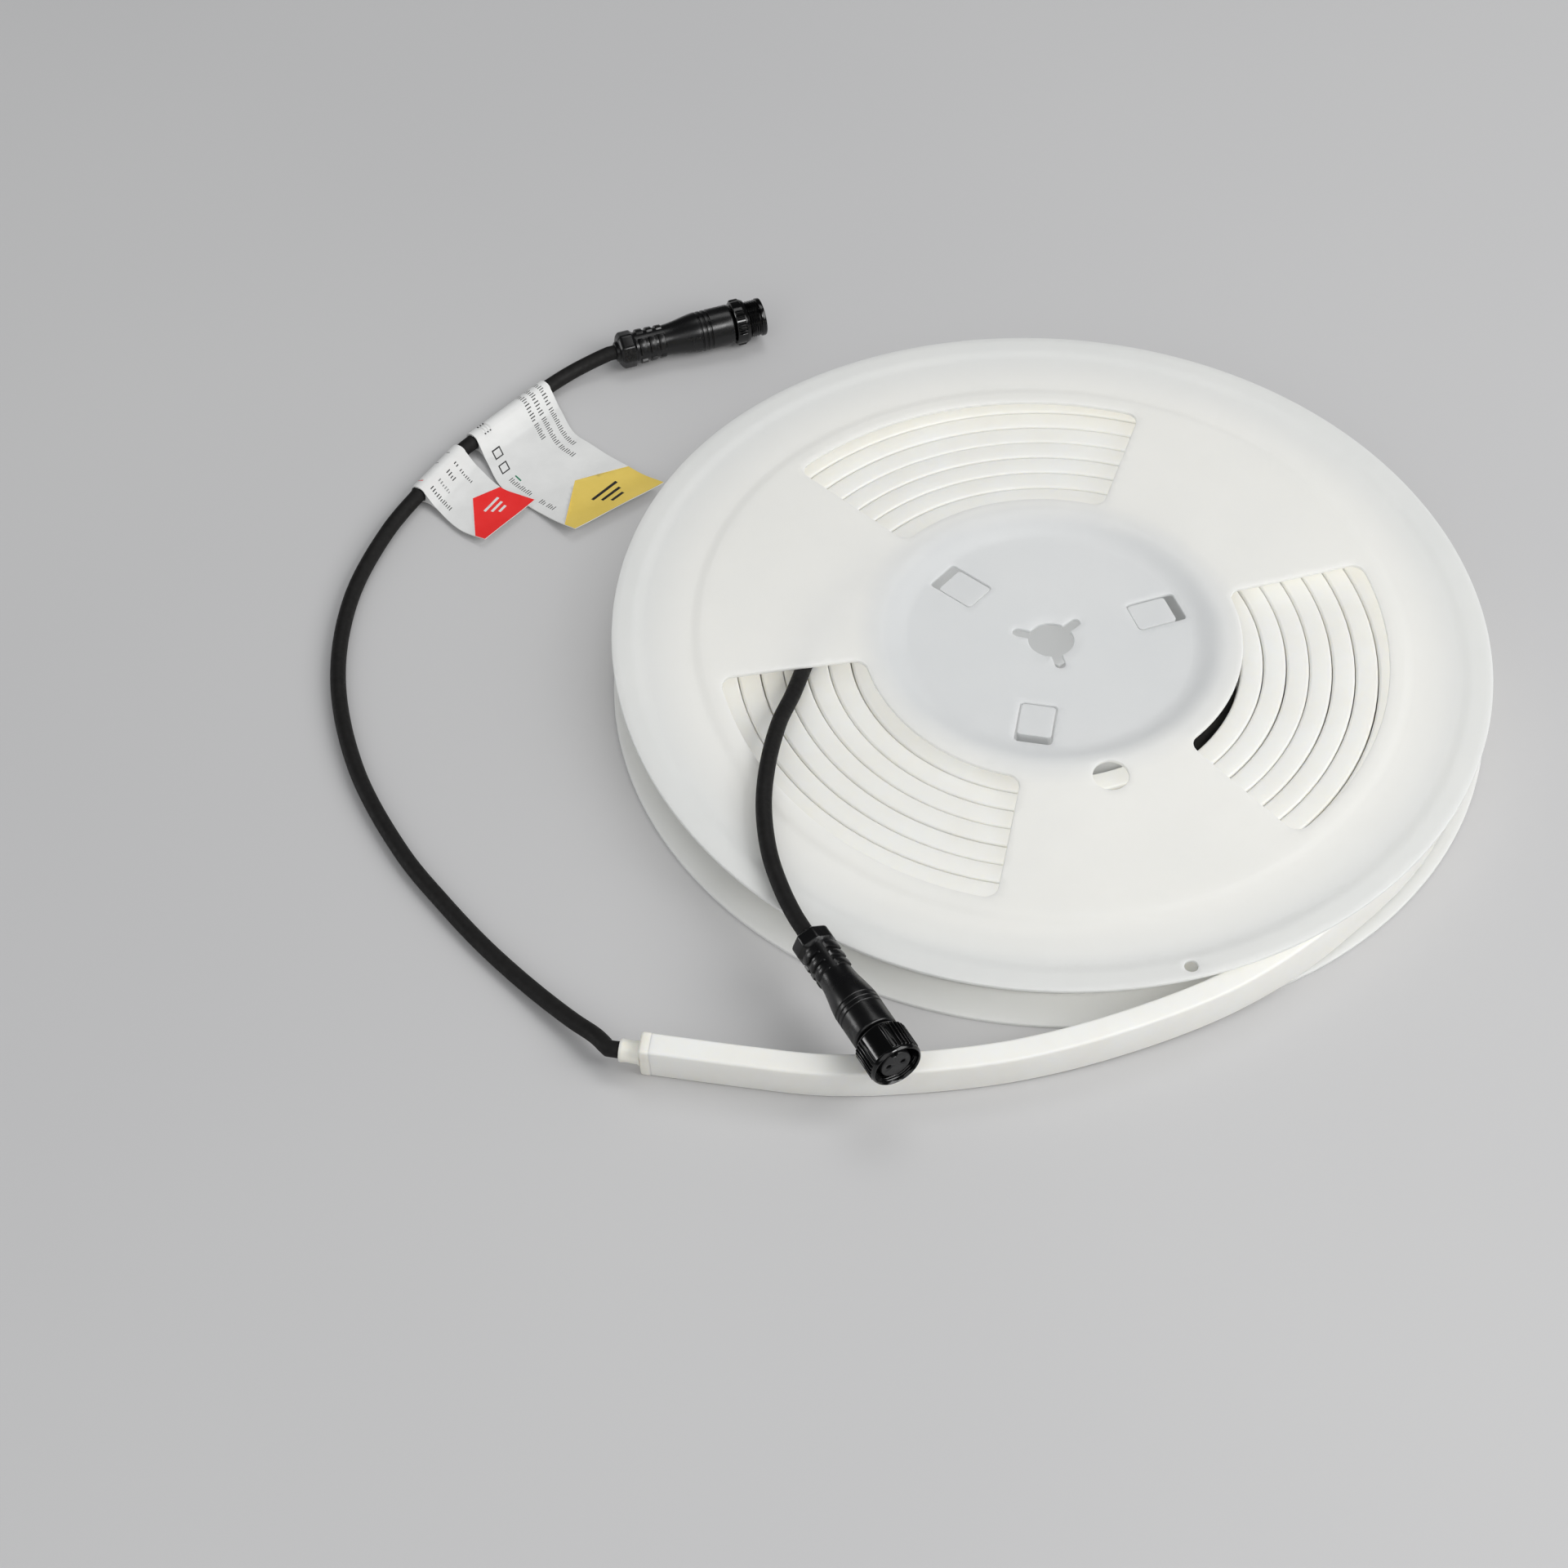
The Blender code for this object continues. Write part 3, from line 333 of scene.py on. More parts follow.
def ramp(nodes, links, source, stops):
    made = nodes.new("ShaderNodeValToRGB")
    band = made.color_ramp
    while len(band.elements) < len(stops):
        band.elements.new(0.5)
    for element, (place, colour) in zip(band.elements, stops):
        element.position = place
        element.color = (*colour, 1) if len(colour) == 3 else colour
    links.new(source, made.inputs["Fac"])
    return made.outputs["Color"]


def spread(nodes, links, source, low, high):
    made = nodes.new("ShaderNodeMapRange")
    made.inputs["From Min"].default_value = 0.3
    made.inputs["From Max"].default_value = 0.7
    made.inputs["To Min"].default_value = low
    made.inputs["To Max"].default_value = high
    links.new(source, made.inputs["Value"])
    return made.outputs["Result"]


def relief(nodes, links, source, distance, strength, under=None):
    bump = nodes.new("ShaderNodeBump")
    bump.inputs["Distance"].default_value = distance
    bump.inputs["Strength"].default_value = strength
    links.new(source, bump.inputs["Height"])
    if under is not None:
        links.new(under, bump.inputs["Normal"])
    return bump.outputs["Normal"]


def milky_polypropylene(name, tones, passed):
    """Natural plastic that passes a share of the lamps' light. Its tone goes by the distance from the reel's
    centre and paints in light and shade: lighter and warm over the strip, as if the strip's light showed through it,
    darker and cooler over the hollow hub and the bare rim, as if their shade showed through."""
    look, nodes, links, shader = blank_finish(name)
    where = nodes.new("ShaderNodeTexCoord")
    centred = nodes.new("ShaderNodeVectorMath")
    centred.operation = "SUBTRACT"
    centred.inputs[1].default_value = REEL_CENTRE
    flat = nodes.new("ShaderNodeVectorMath")
    flat.operation = "MULTIPLY"
    flat.inputs[1].default_value = (1 / REEL_RADIUS, 1 / REEL_RADIUS, 0)
    reach = nodes.new("ShaderNodeVectorMath")
    reach.operation = "LENGTH"
    links.new(where.outputs["Object"], centred.inputs[0])
    links.new(centred.outputs[0], flat.inputs[0])
    links.new(flat.outputs[0], reach.inputs[0])
    cloud = grain(nodes, links, 26, 4, 0.55)
    drift = nodes.new("ShaderNodeMath")
    drift.operation = "MULTIPLY_ADD"
    drift.inputs[1].default_value = 0.05
    links.new(cloud, drift.inputs[0])
    links.new(reach.outputs["Value"], drift.inputs[2])
    clouded = nodes.new("ShaderNodeMix")
    clouded.data_type, clouded.blend_type = "RGBA", "MULTIPLY"
    clouded.inputs["Factor"].default_value = 1.0
    # The ramp by distance paints light and shade into the base colour, multiplied by a random cloud.
    links.new(ramp(nodes, links, drift.outputs[0], tones), clouded.inputs["A"])
    links.new(ramp(nodes, links, cloud, ((0.3, (0.965, 0.97, 0.975)), (0.7, (1, 1, 1)))), clouded.inputs["B"])
    links.new(clouded.outputs["Result"], shader.inputs["Base Color"])
    smear = grain(nodes, links, 90, 3, 0.6)
    links.new(spread(nodes, links, smear, 0.36, 0.5), shader.inputs["Roughness"])
    fine = relief(nodes, links, grain(nodes, links, 2400, 2), 0.00002, 0.3)
    links.new(relief(nodes, links, cloud, 0.0006, 0.16, fine), shader.inputs["Normal"])
    shader.inputs["Subsurface Weight"].default_value = 1.0
    shader.inputs["Subsurface Radius"].default_value = (1.0, 1.0, 1.0)
    shader.inputs["Subsurface Scale"].default_value = 0.0016
    shader.inputs["Specular IOR Level"].default_value = 0.4
    shader.inputs["IOR"].default_value = 1.49
    path = nodes.new("ShaderNodeLightPath")
    let_in = nodes.new("ShaderNodeMath")
    let_in.operation = "MULTIPLY"
    let_in.inputs[1].default_value = passed
    links.new(path.outputs["Is Shadow Ray"], let_in.inputs[0])
    clear = nodes.new("ShaderNodeBsdfTransparent")
    shared = nodes.new("ShaderNodeMixShader")
    links.new(let_in.outputs[0], shared.inputs["Fac"])
    links.new(shader.outputs["BSDF"], shared.inputs[1])
    links.new(clear.outputs["BSDF"], shared.inputs[2])
    links.new(shared.outputs["Shader"], nodes["Material Output"].inputs["Surface"])
    return look


def thirds(make):
    return [make(third * 2 * math.pi / 3) for third in range(3)]


# Painted light and shade by distance from the centre: a darker cool hub, a lighter warm band over the wound strip, a
# darker cool bare rim.
painted_light_and_shade_tones = ((0.0, (0.75, 0.755, 0.75)), (0.395, (0.75, 0.755, 0.75)), (0.475, (0.845, 0.835, 0.80)),
              (0.86, (0.845, 0.835, 0.80)), (0.95, (0.775, 0.775, 0.755)), (1.0, (0.775, 0.775, 0.755)))
lower_look = milky_polypropylene("milky_polypropylene_backed", painted_light_and_shade_tones, 0.7)
lower_holes = thirds(lambda turn: window_edge(WINDOW_ANGLE + turn)) + [spindle_edge()]
tab_outer = thirds(lambda turn: box_edge(TAB_SIZE, TAB_MIDDLE, TAB_ANGLE + turn, TAB_CORNER, False))
core_ring = (ring(CORE_OUTER, 192), DISC_UNDERSIDE - FIT, ring(CORE_OUTER - TUBE_WALL, 192))
tabs_up = [(outline, DISC_TOP - TAB_SUNK, None) for outline in tab_outer]
lower_radii = [0.0075 + 0.0022 * step for step in range(49)]
lower = plate(ring(REEL_RADIUS, RIM_POINTS), lower_holes, lambda x, y: PLATE, lambda x, y: 0.0,
              lower_radii, [core_ring] + tabs_up, [])
lower.transform(Matrix.Translation(REEL_CENTRE))
lower_half = finished("reel_lower_half_moulded", lower, lower_look)
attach(lower_half, "strip_on_reel")
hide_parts("reel_lower_half")

# ---------------------------------------------------------------------------
# Neon flex strip
# One 5 m length of 6 x 12 mm polyurethane extrusion with the light-emitting
# ribbon cast inside. It is wound on edge, turn on turn, from the core outwards,
# and its outer end has sprung off the reel and lies beside it on the floor.
# ---------------------------------------------------------------------------
STRIP_WIDTH = 0.00575
STRIP_HEIGHT = 0.012
STRIP_ROUND = 0.0007
TURN_PITCH = 0.006
STRIP_BASE = PLATE + 0.00025
INNER_ANGLE = math.radians(304)
INNER_RADIUS = 0.047703
INNER_TUCK = 0.0009
TURNS = 10 - 9.6 / 360
LOOSE_TURN = 0.0017
STRIP_STEP = math.radians(3)
FREE_RUN = (
    (301.53, -0.00331, STRIP_BASE, 0), (288.72, 0.00093, STRIP_BASE, 4), (274.69, 0.00731, 0.0010, 6),
    (263.36, 0.01477, 0.0003, 9), (252.79, 0.02360, 0, 10), (245.60, 0.03094, 0, 10),
    (239.17, 0.03721, 0, 10), (231.45, 0.04739, 0, 10),
)


def smooth_route(points, spacing):
    """Even steps along a smooth curve through the points."""
    points = [Vector(point) for point in points]
    ends = [2 * points[0] - points[1]] + points + [2 * points[-1] - points[-2]]
    fine = []
    for a, b, c, d in zip(ends, ends[1:], ends[2:], ends[3:]):
        knots = [0]
        for start, end in ((a, b), (b, c), (c, d)):
            knots.append(knots[-1] + max((end - start).length, 1e-6) ** 0.5)
        for step in range(24):
            t = knots[1] + (knots[2] - knots[1]) * step / 24
            ab = a.lerp(b, (t - knots[0]) / (knots[1] - knots[0]))
            bc = b.lerp(c, (t - knots[1]) / (knots[2] - knots[1]))
            cd = c.lerp(d, (t - knots[2]) / (knots[3] - knots[2]))
            abc = ab.lerp(bc, (t - knots[0]) / (knots[2] - knots[0]))
            bcd = bc.lerp(cd, (t - knots[1]) / (knots[3] - knots[1]))
            fine.append(abc.lerp(bcd, (t - knots[1]) / (knots[2] - knots[1])))
    fine.append(points[-1])
    lengths = [0]
    for start, end in zip(fine, fine[1:]):
        lengths.append(lengths[-1] + (end - start).length)
    count = max(2, round(lengths[-1] / spacing))
    even, index = [], 0
    for step in range(count + 1):
        goal = lengths[-1] * step / count
        while index < len(fine) - 2 and lengths[index + 1] < goal:
            index += 1
        part = (goal - lengths[index]) / (lengths[index + 1] - lengths[index])
        even.append(fine[index].lerp(fine[index + 1], part))
    return even


def wound_place(wound):
    total = TURNS * 2 * math.pi
    radius = INNER_RADIUS + TURN_PITCH * wound / (2 * math.pi)
    tucked = max(0, 1 - wound / math.radians(50))
    radius -= INNER_TUCK * tucked ** 2 * (3 - 2 * tucked)
    loose = max(0, (wound - total + math.radians(300)) / math.radians(300))
    radius += LOOSE_TURN * loose ** 2 * (3 - 2 * loose)
    slack = math.sin(0.37 * wound + 1.1) * math.sin(2.13 * wound)
    fade = min(1, wound / 2) * min(1, (total - wound) / 2)
    radius += 0.00006 * slack * fade
    angle = INNER_ANGLE - wound
    return Vector((radius * math.cos(angle), radius * math.sin(angle), STRIP_BASE))


def node_tree(name, inputs):
    """An empty Geometry Nodes tree with named inputs, and a helper that adds its nodes."""
    tree = bpy.data.node_groups.new(name, "GeometryNodeTree")
    kinds = {"geometry": "NodeSocketGeometry", "length": "NodeSocketFloat", "count": "NodeSocketInt",
             "finish": "NodeSocketMaterial", "object": "NodeSocketObject"}
    for label, kind in inputs:
        tree.interface.new_socket(label, in_out="INPUT", socket_type=kinds[kind])
    tree.interface.new_socket("Geometry", in_out="OUTPUT", socket_type="NodeSocketGeometry")
    source = tree.nodes.new("NodeGroupInput")
    target = tree.nodes.new("NodeGroupOutput")

    def add(kind, links=(), **settings):
        node = tree.nodes.new("GeometryNode" + kind if not kind.startswith("Shader") else kind)
        for key, value in settings.items():
            if hasattr(node, key):
                setattr(node, key, value)
            else:
                node.inputs[key.replace("_", " ")].default_value = value
        for name, output in links:
            tree.links.new(output, node.inputs[name])
        return node

    return tree, source.outputs, target.inputs["Geometry"], add


def grown(carrier, tree, values, name):
    """Runs the tree on the carrier and keeps its result as a plain mesh."""
    run = carrier.modifiers.new(tree.name, "NODES")
    run.node_group = tree
    for item in tree.interface.items_tree:
        if item.in_out == "INPUT" and item.name in values:
            run[item.identifier] = values[item.name]
    bpy.context.view_layer.update()
    graph = bpy.context.evaluated_depsgraph_get()
    mesh = bpy.data.meshes.new_from_object(carrier.evaluated_get(graph))
    mesh.name = name
    carrier.modifiers.remove(run)
    bpy.data.objects.remove(carrier)
    made = bpy.data.objects.new(name, mesh)
    bpy.context.scene.collection.objects.link(made)
    return made


stations = []
total_wound = TURNS * 2 * math.pi
for step in range(int(total_wound / STRIP_STEP)):
    stations.append((*wound_place(step * STRIP_STEP), 0))
run_marks = [(*wound_place(total_wound), 0)]
for bearing, past_rim, height, lean in FREE_RUN:
    reach, way = REEL_RADIUS + past_rim, math.radians(bearing)
    run_marks.append((reach * math.cos(way), reach * math.sin(way), height, lean))
for place in smooth_route([Vector(mark[:3]) for mark in run_marks], 0.0025):
    lean = 0
    for (x0, _, _, lean0), (x1, _, _, lean1) in zip(run_marks, run_marks[1:]):
        if x1 - 1e-6 <= place.x <= x0 + 1e-6:
            lean = lean0 + (lean1 - lean0) * (x0 - place.x) / (x0 - x1)
    stations.append((*place, lean))

strip_line = bpy.data.curves.new("neon_strip_line", "CURVE")
strip_line.dimensions = "3D"
strip_line.twist_mode = "Z_UP"
spline = strip_line.splines.new("POLY")
spline.points.add(len(stations) - 1)
feet = []
for index, (x, y, z, lean) in enumerate(stations):
    before = Vector(stations[max(index - 1, 0)][:3])
    after = Vector(stations[min(index + 1, len(stations) - 1)][:3])
    ahead = (after - before).normalized()
    outward = Vector((ahead.y, -ahead.x, 0)).normalized()
    if outward.dot(Vector((x, y, 0))) < 0:
        outward.negate()
    tilt = math.radians(lean)
    side = outward * math.cos(tilt) - Vector((0, 0, math.sin(tilt)))
    up = Vector((0, 0, math.cos(tilt))) + outward * math.sin(tilt)
    foot = Vector((x, y, z + STRIP_WIDTH / 2 * math.sin(tilt)))
    feet.append((foot, side, up, ahead))
    spline.points[index].co = (*(foot + REEL_CENTRE), 1)
    spline.points[index].tilt = -tilt
strip_carrier = bpy.data.objects.new("neon_strip_line", strip_line)
bpy.context.scene.collection.objects.link(strip_carrier)

strip_look, nodes, links, shader = blank_finish("milky_polyurethane")
tone = grain(nodes, links, 60, 4, 0.6)
links.new(ramp(nodes, links, tone, ((0.3, (0.90, 0.885, 0.83)), (0.7, (0.93, 0.925, 0.885)))),
          shader.inputs["Base Color"])
links.new(spread(nodes, links, grain(nodes, links, 300, 3), 0.34, 0.48), shader.inputs["Roughness"])
haze = relief(nodes, links, grain(nodes, links, 1500, 3), 0.00002, 0.35)
links.new(relief(nodes, links, tone, 0.0004, 0.15, haze), shader.inputs["Normal"])
shader.inputs["Subsurface Weight"].default_value = 0.6
shader.inputs["Subsurface Radius"].default_value = (1.0, 0.95, 0.8)
shader.inputs["Subsurface Scale"].default_value = 0.0012
shader.inputs["Specular IOR Level"].default_value = 0.45

tree, given, result, add = node_tree("strip_extrusion", (
    ("Line", "geometry"), ("Width", "length"), ("Height", "length"), ("Corner", "length"),
    ("Finish", "finish")))
section = add("CurvePrimitiveQuadrilateral", [("Width", given["Width"]), ("Height", given["Height"])])
rounded = add("FilletCurve", [("Curve", section.outputs["Curve"]), ("Radius", given["Corner"])],
              mode="POLY", Count=4)
standing = add("Transform", [("Geometry", rounded.outputs["Curve"])])
lift = tree.nodes.new("ShaderNodeMath")
lift.operation = "MULTIPLY"
lift.inputs[1].default_value = -0.5
tree.links.new(given["Height"], lift.inputs[0])
offset = tree.nodes.new("ShaderNodeCombineXYZ")
tree.links.new(lift.outputs[0], offset.inputs["Y"])
tree.links.new(offset.outputs[0], standing.inputs["Translation"])
drawn = add("CurveToMesh", [("Curve", given["Line"]), ("Profile Curve", standing.outputs["Geometry"])])
drawn.inputs["Fill Caps"].default_value = True
smoothed = add("SetShadeSmooth", [("Geometry", drawn.outputs["Mesh"])])
real = add("RealizeInstances", [("Geometry", smoothed.outputs["Geometry"])])
dressed = add("SetMaterial", [("Geometry", real.outputs["Geometry"]), ("Material", given["Finish"])])
tree.links.new(dressed.outputs["Geometry"], result)
strip = grown(strip_carrier, tree, {"Width": STRIP_WIDTH, "Height": STRIP_HEIGHT, "Corner": STRIP_ROUND,
                                    "Finish": strip_look}, "neon_strip_extruded")
strip.data.set_sharp_from_angle(angle=math.radians(50))
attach(strip, "strip_on_reel")
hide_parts("neon_strip")

# ---------------------------------------------------------------------------
# End caps
# Each end of the strip is closed by a cream silicone cap, glued on: a block
# almost flush with the strip, and a short round neck where the lead
# comes out.
# ---------------------------------------------------------------------------
CAP_SIZE = (0.00605, 0.01215)
CAP_LENGTH = 0.0022
NECK_LENGTH = 0.0052
NECK_RADIUS = 0.0029
CABLE_RADIUS = 0.0021
LEAD_STRAIGHT = 0.0025

cap_look, nodes, links, shader = blank_finish("cream_silicone")
tone = grain(nodes, links, 220, 4, 0.6)
links.new(ramp(nodes, links, tone, ((0.3, (0.92, 0.88, 0.785)), (0.7, (0.96, 0.93, 0.85)))),
          shader.inputs["Base Color"])
links.new(spread(nodes, links, grain(nodes, links, 700, 3), 0.3, 0.46), shader.inputs["Roughness"])
links.new(relief(nodes, links, grain(nodes, links, 1300, 3), 0.00004, 0.35), shader.inputs["Normal"])
shader.inputs["Subsurface Weight"].default_value = 0.5
shader.inputs["Subsurface Radius"].default_value = (1.0, 0.9, 0.7)
shader.inputs["Subsurface Scale"].default_value = 0.001


def lathe(profile, segments, shape=None, closed=False):
    """Turns (radius, height) points about Z. An open profile starts and ends on the axis."""
    shell = bmesh.new()
    rows = []
    for index, (radius, height) in enumerate(profile):
        if radius == 0:
            rows.append([shell.verts.new((0, 0, height))])
            continue
        row = []
        for step in range(segments):
            angle = 2 * math.pi * step / segments
            reach = shape(index, radius, height, angle) if shape else radius
            row.append(shell.verts.new((reach * math.cos(angle), reach * math.sin(angle), height)))
        rows.append(row)
    pairs = list(zip(rows, rows[1:])) + ([(rows[-1], rows[0])] if closed else [])
    for low, high in pairs:
        for step in range(segments):
            after = (step + 1) % segments
            corners = [low[step % len(low)], low[after % len(low)],
                       high[after % len(high)], high[step % len(high)]]
            shell.faces.new(list(dict.fromkeys(corners)))
    return shell


def end_cap(name, station, direction):
    """The cap on one end. Returns the two points that its lead starts with."""
    foot, side, up, ahead = station
    away = ahead * direction
    start = foot + up * STRIP_HEIGHT / 2 + away * FIT
    across = up.cross(away).normalized()
    turn = Matrix((across, up, away)).transposed().to_4x4()
    w, h = CAP_SIZE[0] / 2, CAP_SIZE[1] / 2
    shell = bmesh.new()
    rows = []
    for level, shrink in ((-0.0004, 0.00012), (0, 0), (CAP_LENGTH - 0.0006, 0), (CAP_LENGTH - 0.0002, 0.0002),
                          (CAP_LENGTH, 0.0006)):
        outline = box_edge((2 * (w - shrink), 2 * (h - shrink)), 0, 0, 0.0008 - shrink * 0.5, False)
        rows.append([shell.verts.new((p.x, p.y, level)) for p in outline])
    for low, high in zip(rows, rows[1:]):
        bridge(shell, low, high)
    shell.faces.new(rows[0][::-1])
    count = len(rows[-1])
    root = []
    for vertex in rows[-1]:
        angle = math.atan2(vertex.co.y, vertex.co.x)
        root.append(angle)
    neck_end, bore = CAP_LENGTH + NECK_LENGTH, CABLE_RADIUS + 0.00006
    neck = ((NECK_RADIUS + 0.0003, CAP_LENGTH), (NECK_RADIUS, CAP_LENGTH + 0.0004),
            (NECK_RADIUS - 0.0001, CAP_LENGTH + NECK_LENGTH * 0.5), (NECK_RADIUS - 0.0001, neck_end - 0.0012),
            (NECK_RADIUS, neck_end - 0.0010), (NECK_RADIUS, neck_end - 0.0003),
            (NECK_RADIUS - 0.0002, neck_end), (bore, neck_end), (bore, neck_end - 0.0004))
    last = rows[-1]
    for radius, height in neck:
        row = [shell.verts.new((radius * math.cos(a), radius * math.sin(a), height)) for a in root]
        bridge(shell, last, row)
        last = row
    shell.faces.new(last)
    shell.transform(Matrix.Translation(REEL_CENTRE + start) @ turn)
    made = finished(name, shell, cap_look, 40, True)
    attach(made, "strip_on_reel")
    mouth = start + away * (neck_end + FIT)
    return made, [mouth, mouth + away * LEAD_STRAIGHT]


inner_cap, inner_mouth = end_cap("inner_end_cap_moulded", feet[0], -1)
outer_cap, outer_mouth = end_cap("outer_end_cap_moulded", feet[-1], 1)
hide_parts("inner_end_cap")
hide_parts("outer_end_cap")

# ---------------------------------------------------------------------------
# Leads
# Two short lengths of round two-core cable in matte charcoal rubber. The plug
# lead curves over the floor from the outer cap, and the socket lead climbs
# round the core from the inner cap and comes out through a window.
# ---------------------------------------------------------------------------
LABEL_AXIS = 0.0029
PLUG_TAIL = Vector((-0.1180, 0.1230, 0.0058))
PLUG_NOSE = Vector((-0.0752, 0.1375, 0.0072))
SOCKET_TAIL = Vector((-0.0634, -0.1022, 0.0190))
SOCKET_NOSE = Vector((-0.0427, -0.1414, 0.0199))
PLUG_LEAD_ROUTE = (
    (-0.1149, -0.1219, 0.0053), (-0.1212, -0.1159, 0.0040), (-0.1324, -0.1045, 0.0026),
    (-0.1441, -0.0918, 0.00225), (-0.1553, -0.0778, 0.0022), (-0.1664, -0.0622, 0.0022),
    (-0.1805, -0.0338, 0.0022), (-0.1880, -0.0018, 0.0022), (-0.1869, 0.0278, 0.00225),
    (-0.1793, 0.0522, 0.0026), (-0.1715, 0.0671, LABEL_AXIS), (-0.1612, 0.0839, LABEL_AXIS),
    (-0.1578, 0.0882, LABEL_AXIS), (-0.1384, 0.1103, LABEL_AXIS), (-0.1312, 0.1165, 0.0036),
    (-0.1247, 0.1203, 0.0048),
)
SOCKET_LEAD_HUB = (
    (322, 0.0467, 0.0074), (334, 0.0470, 0.0076), (346, 0.0475, 0.0080), (357, 0.0472, 0.0084),
    (15, 0.0465, 0.0090), (35, 0.0458, 0.0098), (60, 0.0452, 0.0112), (85, 0.0449, 0.0129),
    (105, 0.0450, 0.0144), (122, 0.0453, 0.0155), (132, 0.0461, 0.01575), (144, 0.0484, 0.01575),
    (158, 0.0525, 0.01575), (172, 0.0580, 0.01575), (185, 0.0635, 0.0160),
)
SOCKET_LEAD_OUT = (
    (-0.0676, -0.0209, 0.0176), (-0.0711, -0.0322, 0.0193), (-0.0740, -0.0485, 0.0207),
    (-0.0748, -0.0619, 0.0204), (-0.0733, -0.0758, 0.0194), (-0.0703, -0.0865, 0.0188),
    (-0.0672, -0.0946, 0.0188),
)

cable_look, nodes, links, shader = blank_finish("charcoal_rubber")
tone = grain(nodes, links, 500, 5, 0.65)
links.new(ramp(nodes, links, tone, ((0.3, (0.0095, 0.0090, 0.0088)), (0.7, (0.0155, 0.0148, 0.0143)))),
          shader.inputs["Base Color"])
links.new(spread(nodes, links, grain(nodes, links, 900, 4), 0.5, 0.68), shader.inputs["Roughness"])
skin_marks = relief(nodes, links, grain(nodes, links, 4200, 2), 0.00003, 0.4)
links.new(relief(nodes, links, tone, 0.0001, 0.18, skin_marks), shader.inputs["Normal"])
shader.inputs["Specular IOR Level"].default_value = 0.2


def lead(name, route):
    """A round cable along the route, straight over its first and last steps."""
    points = [route[0]] + smooth_route(route[1:-1], 0.0015) + [route[-1]]
    line = bpy.data.curves.new(name, "CURVE")
    line.dimensions = "3D"
    line.bevel_depth = CABLE_RADIUS
    line.bevel_resolution = 7
    line.use_fill_caps = True
    spline = line.splines.new("POLY")
    spline.points.add(len(points) - 1)
    for slot, point in zip(spline.points, points):
        slot.co = (*(Vector(point) + REEL_CENTRE), 1)
    line.materials.append(cable_look)
    made = bpy.data.objects.new(name, line)
    bpy.context.scene.collection.objects.link(made)
    length = sum((b - a).length for a, b in zip(points, points[1:]))
    return made, Vector(points[0]) + REEL_CENTRE, length


plug_way = (PLUG_NOSE - PLUG_TAIL).normalized()
socket_way = (SOCKET_NOSE - SOCKET_TAIL).normalized()
plug_end = [PLUG_TAIL - plug_way * (FIT + LEAD_STRAIGHT), PLUG_TAIL - plug_way * FIT]
socket_end = [SOCKET_TAIL - socket_way * (FIT + LEAD_STRAIGHT), SOCKET_TAIL - socket_way * FIT]
round_hub = [(r * math.cos(math.radians(a)), r * math.sin(math.radians(a)), z) for a, r, z in SOCKET_LEAD_HUB]
plug_lead, plug_exit, plug_lead_length = lead(
    "plug_lead_cable", outer_mouth + list(PLUG_LEAD_ROUTE) + plug_end)
socket_lead, socket_exit, socket_lead_length = lead(
    "socket_lead_cable", inner_mouth + round_hub + list(SOCKET_LEAD_OUT) + socket_end)
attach(plug_lead, "strip_on_reel")
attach(socket_lead, "strip_on_reel")
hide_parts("plug_lead")
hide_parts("socket_lead")

# ---------------------------------------------------------------------------
# Upper reel half
# The same milky plastic, moulded with a collar that slips over the core. Its
# flange has taken a set in storage: pushed up at the back left, pulled down
# at the front, with a shallow stiffening groove inside the rim.
# ---------------------------------------------------------------------------
RIM_BAND = 0.0050
GROOVE_OUTER_SLOPE = 0.0035
GROOVE_WIDTH = 0.0120
GROOVE_INNER_SLOPE = 0.0030
GROOVE_DEPTH = 0.0005
LIFT_MEAN = -0.00105
LIFT_WAVES = ((0.00275, math.radians(130)), (0.00125, math.radians(160)), (0.0006, math.radians(176)))
LIFT_POWER = 2.2
COLLAR_END = 0.0090
DISH_START = 0.0370
DISH_END = 0.0462
FINGER_HOLE = (0.0046, (0.0128, -0.0485))
TIE_HOLE = (0.0017, (0.0291, -0.1075))


def eased(value, start, end):
    share = min(1, max(0, (value - start) / (end - start)))
    return share * share * (3 - 2 * share)


def flange_lift(x, y):
    radius = math.hypot(x, y)
    along = (radius - COLLAR_RADIUS) / (REEL_RADIUS - COLLAR_RADIUS)
    if along <= 0:
        return 0
    angle = math.atan2(y, x)
    rim = LIFT_MEAN
    for order, (height, peak) in enumerate(LIFT_WAVES, start=1):
        rim += height * math.cos(order * (angle - peak))
    return (1 - (1 - min(along, 1)) ** LIFT_POWER) * rim


groove_outer = REEL_RADIUS - RIM_BAND - GROOVE_OUTER_SLOPE
groove_inner = groove_outer - GROOVE_WIDTH


def upper_face(x, y):
    radius = math.hypot(x, y)
    groove = eased(radius, groove_inner - GROOVE_INNER_SLOPE, groove_inner)
    groove -= eased(radius, groove_outer, groove_outer + GROOVE_OUTER_SLOPE)
    dish = 1 - eased(radius, DISH_START, DISH_END)
    return HUB_TOP - GROOVE_DEPTH * groove - HUB_RECESS * dish + flange_lift(x, y)


def under_face(x, y):
    radius = math.hypot(x, y)
    if radius < DISH_END:
        return max(DISC_UNDERSIDE, upper_face(x, y) - PLATE)
    groove = eased(radius, groove_inner - GROOVE_INNER_SLOPE, groove_inner)
    groove -= eased(radius, groove_outer, groove_outer + GROOVE_OUTER_SLOPE)
    return FLANGE_UNDERSIDE - GROOVE_DEPTH * 0.5 * groove + flange_lift(x, y)


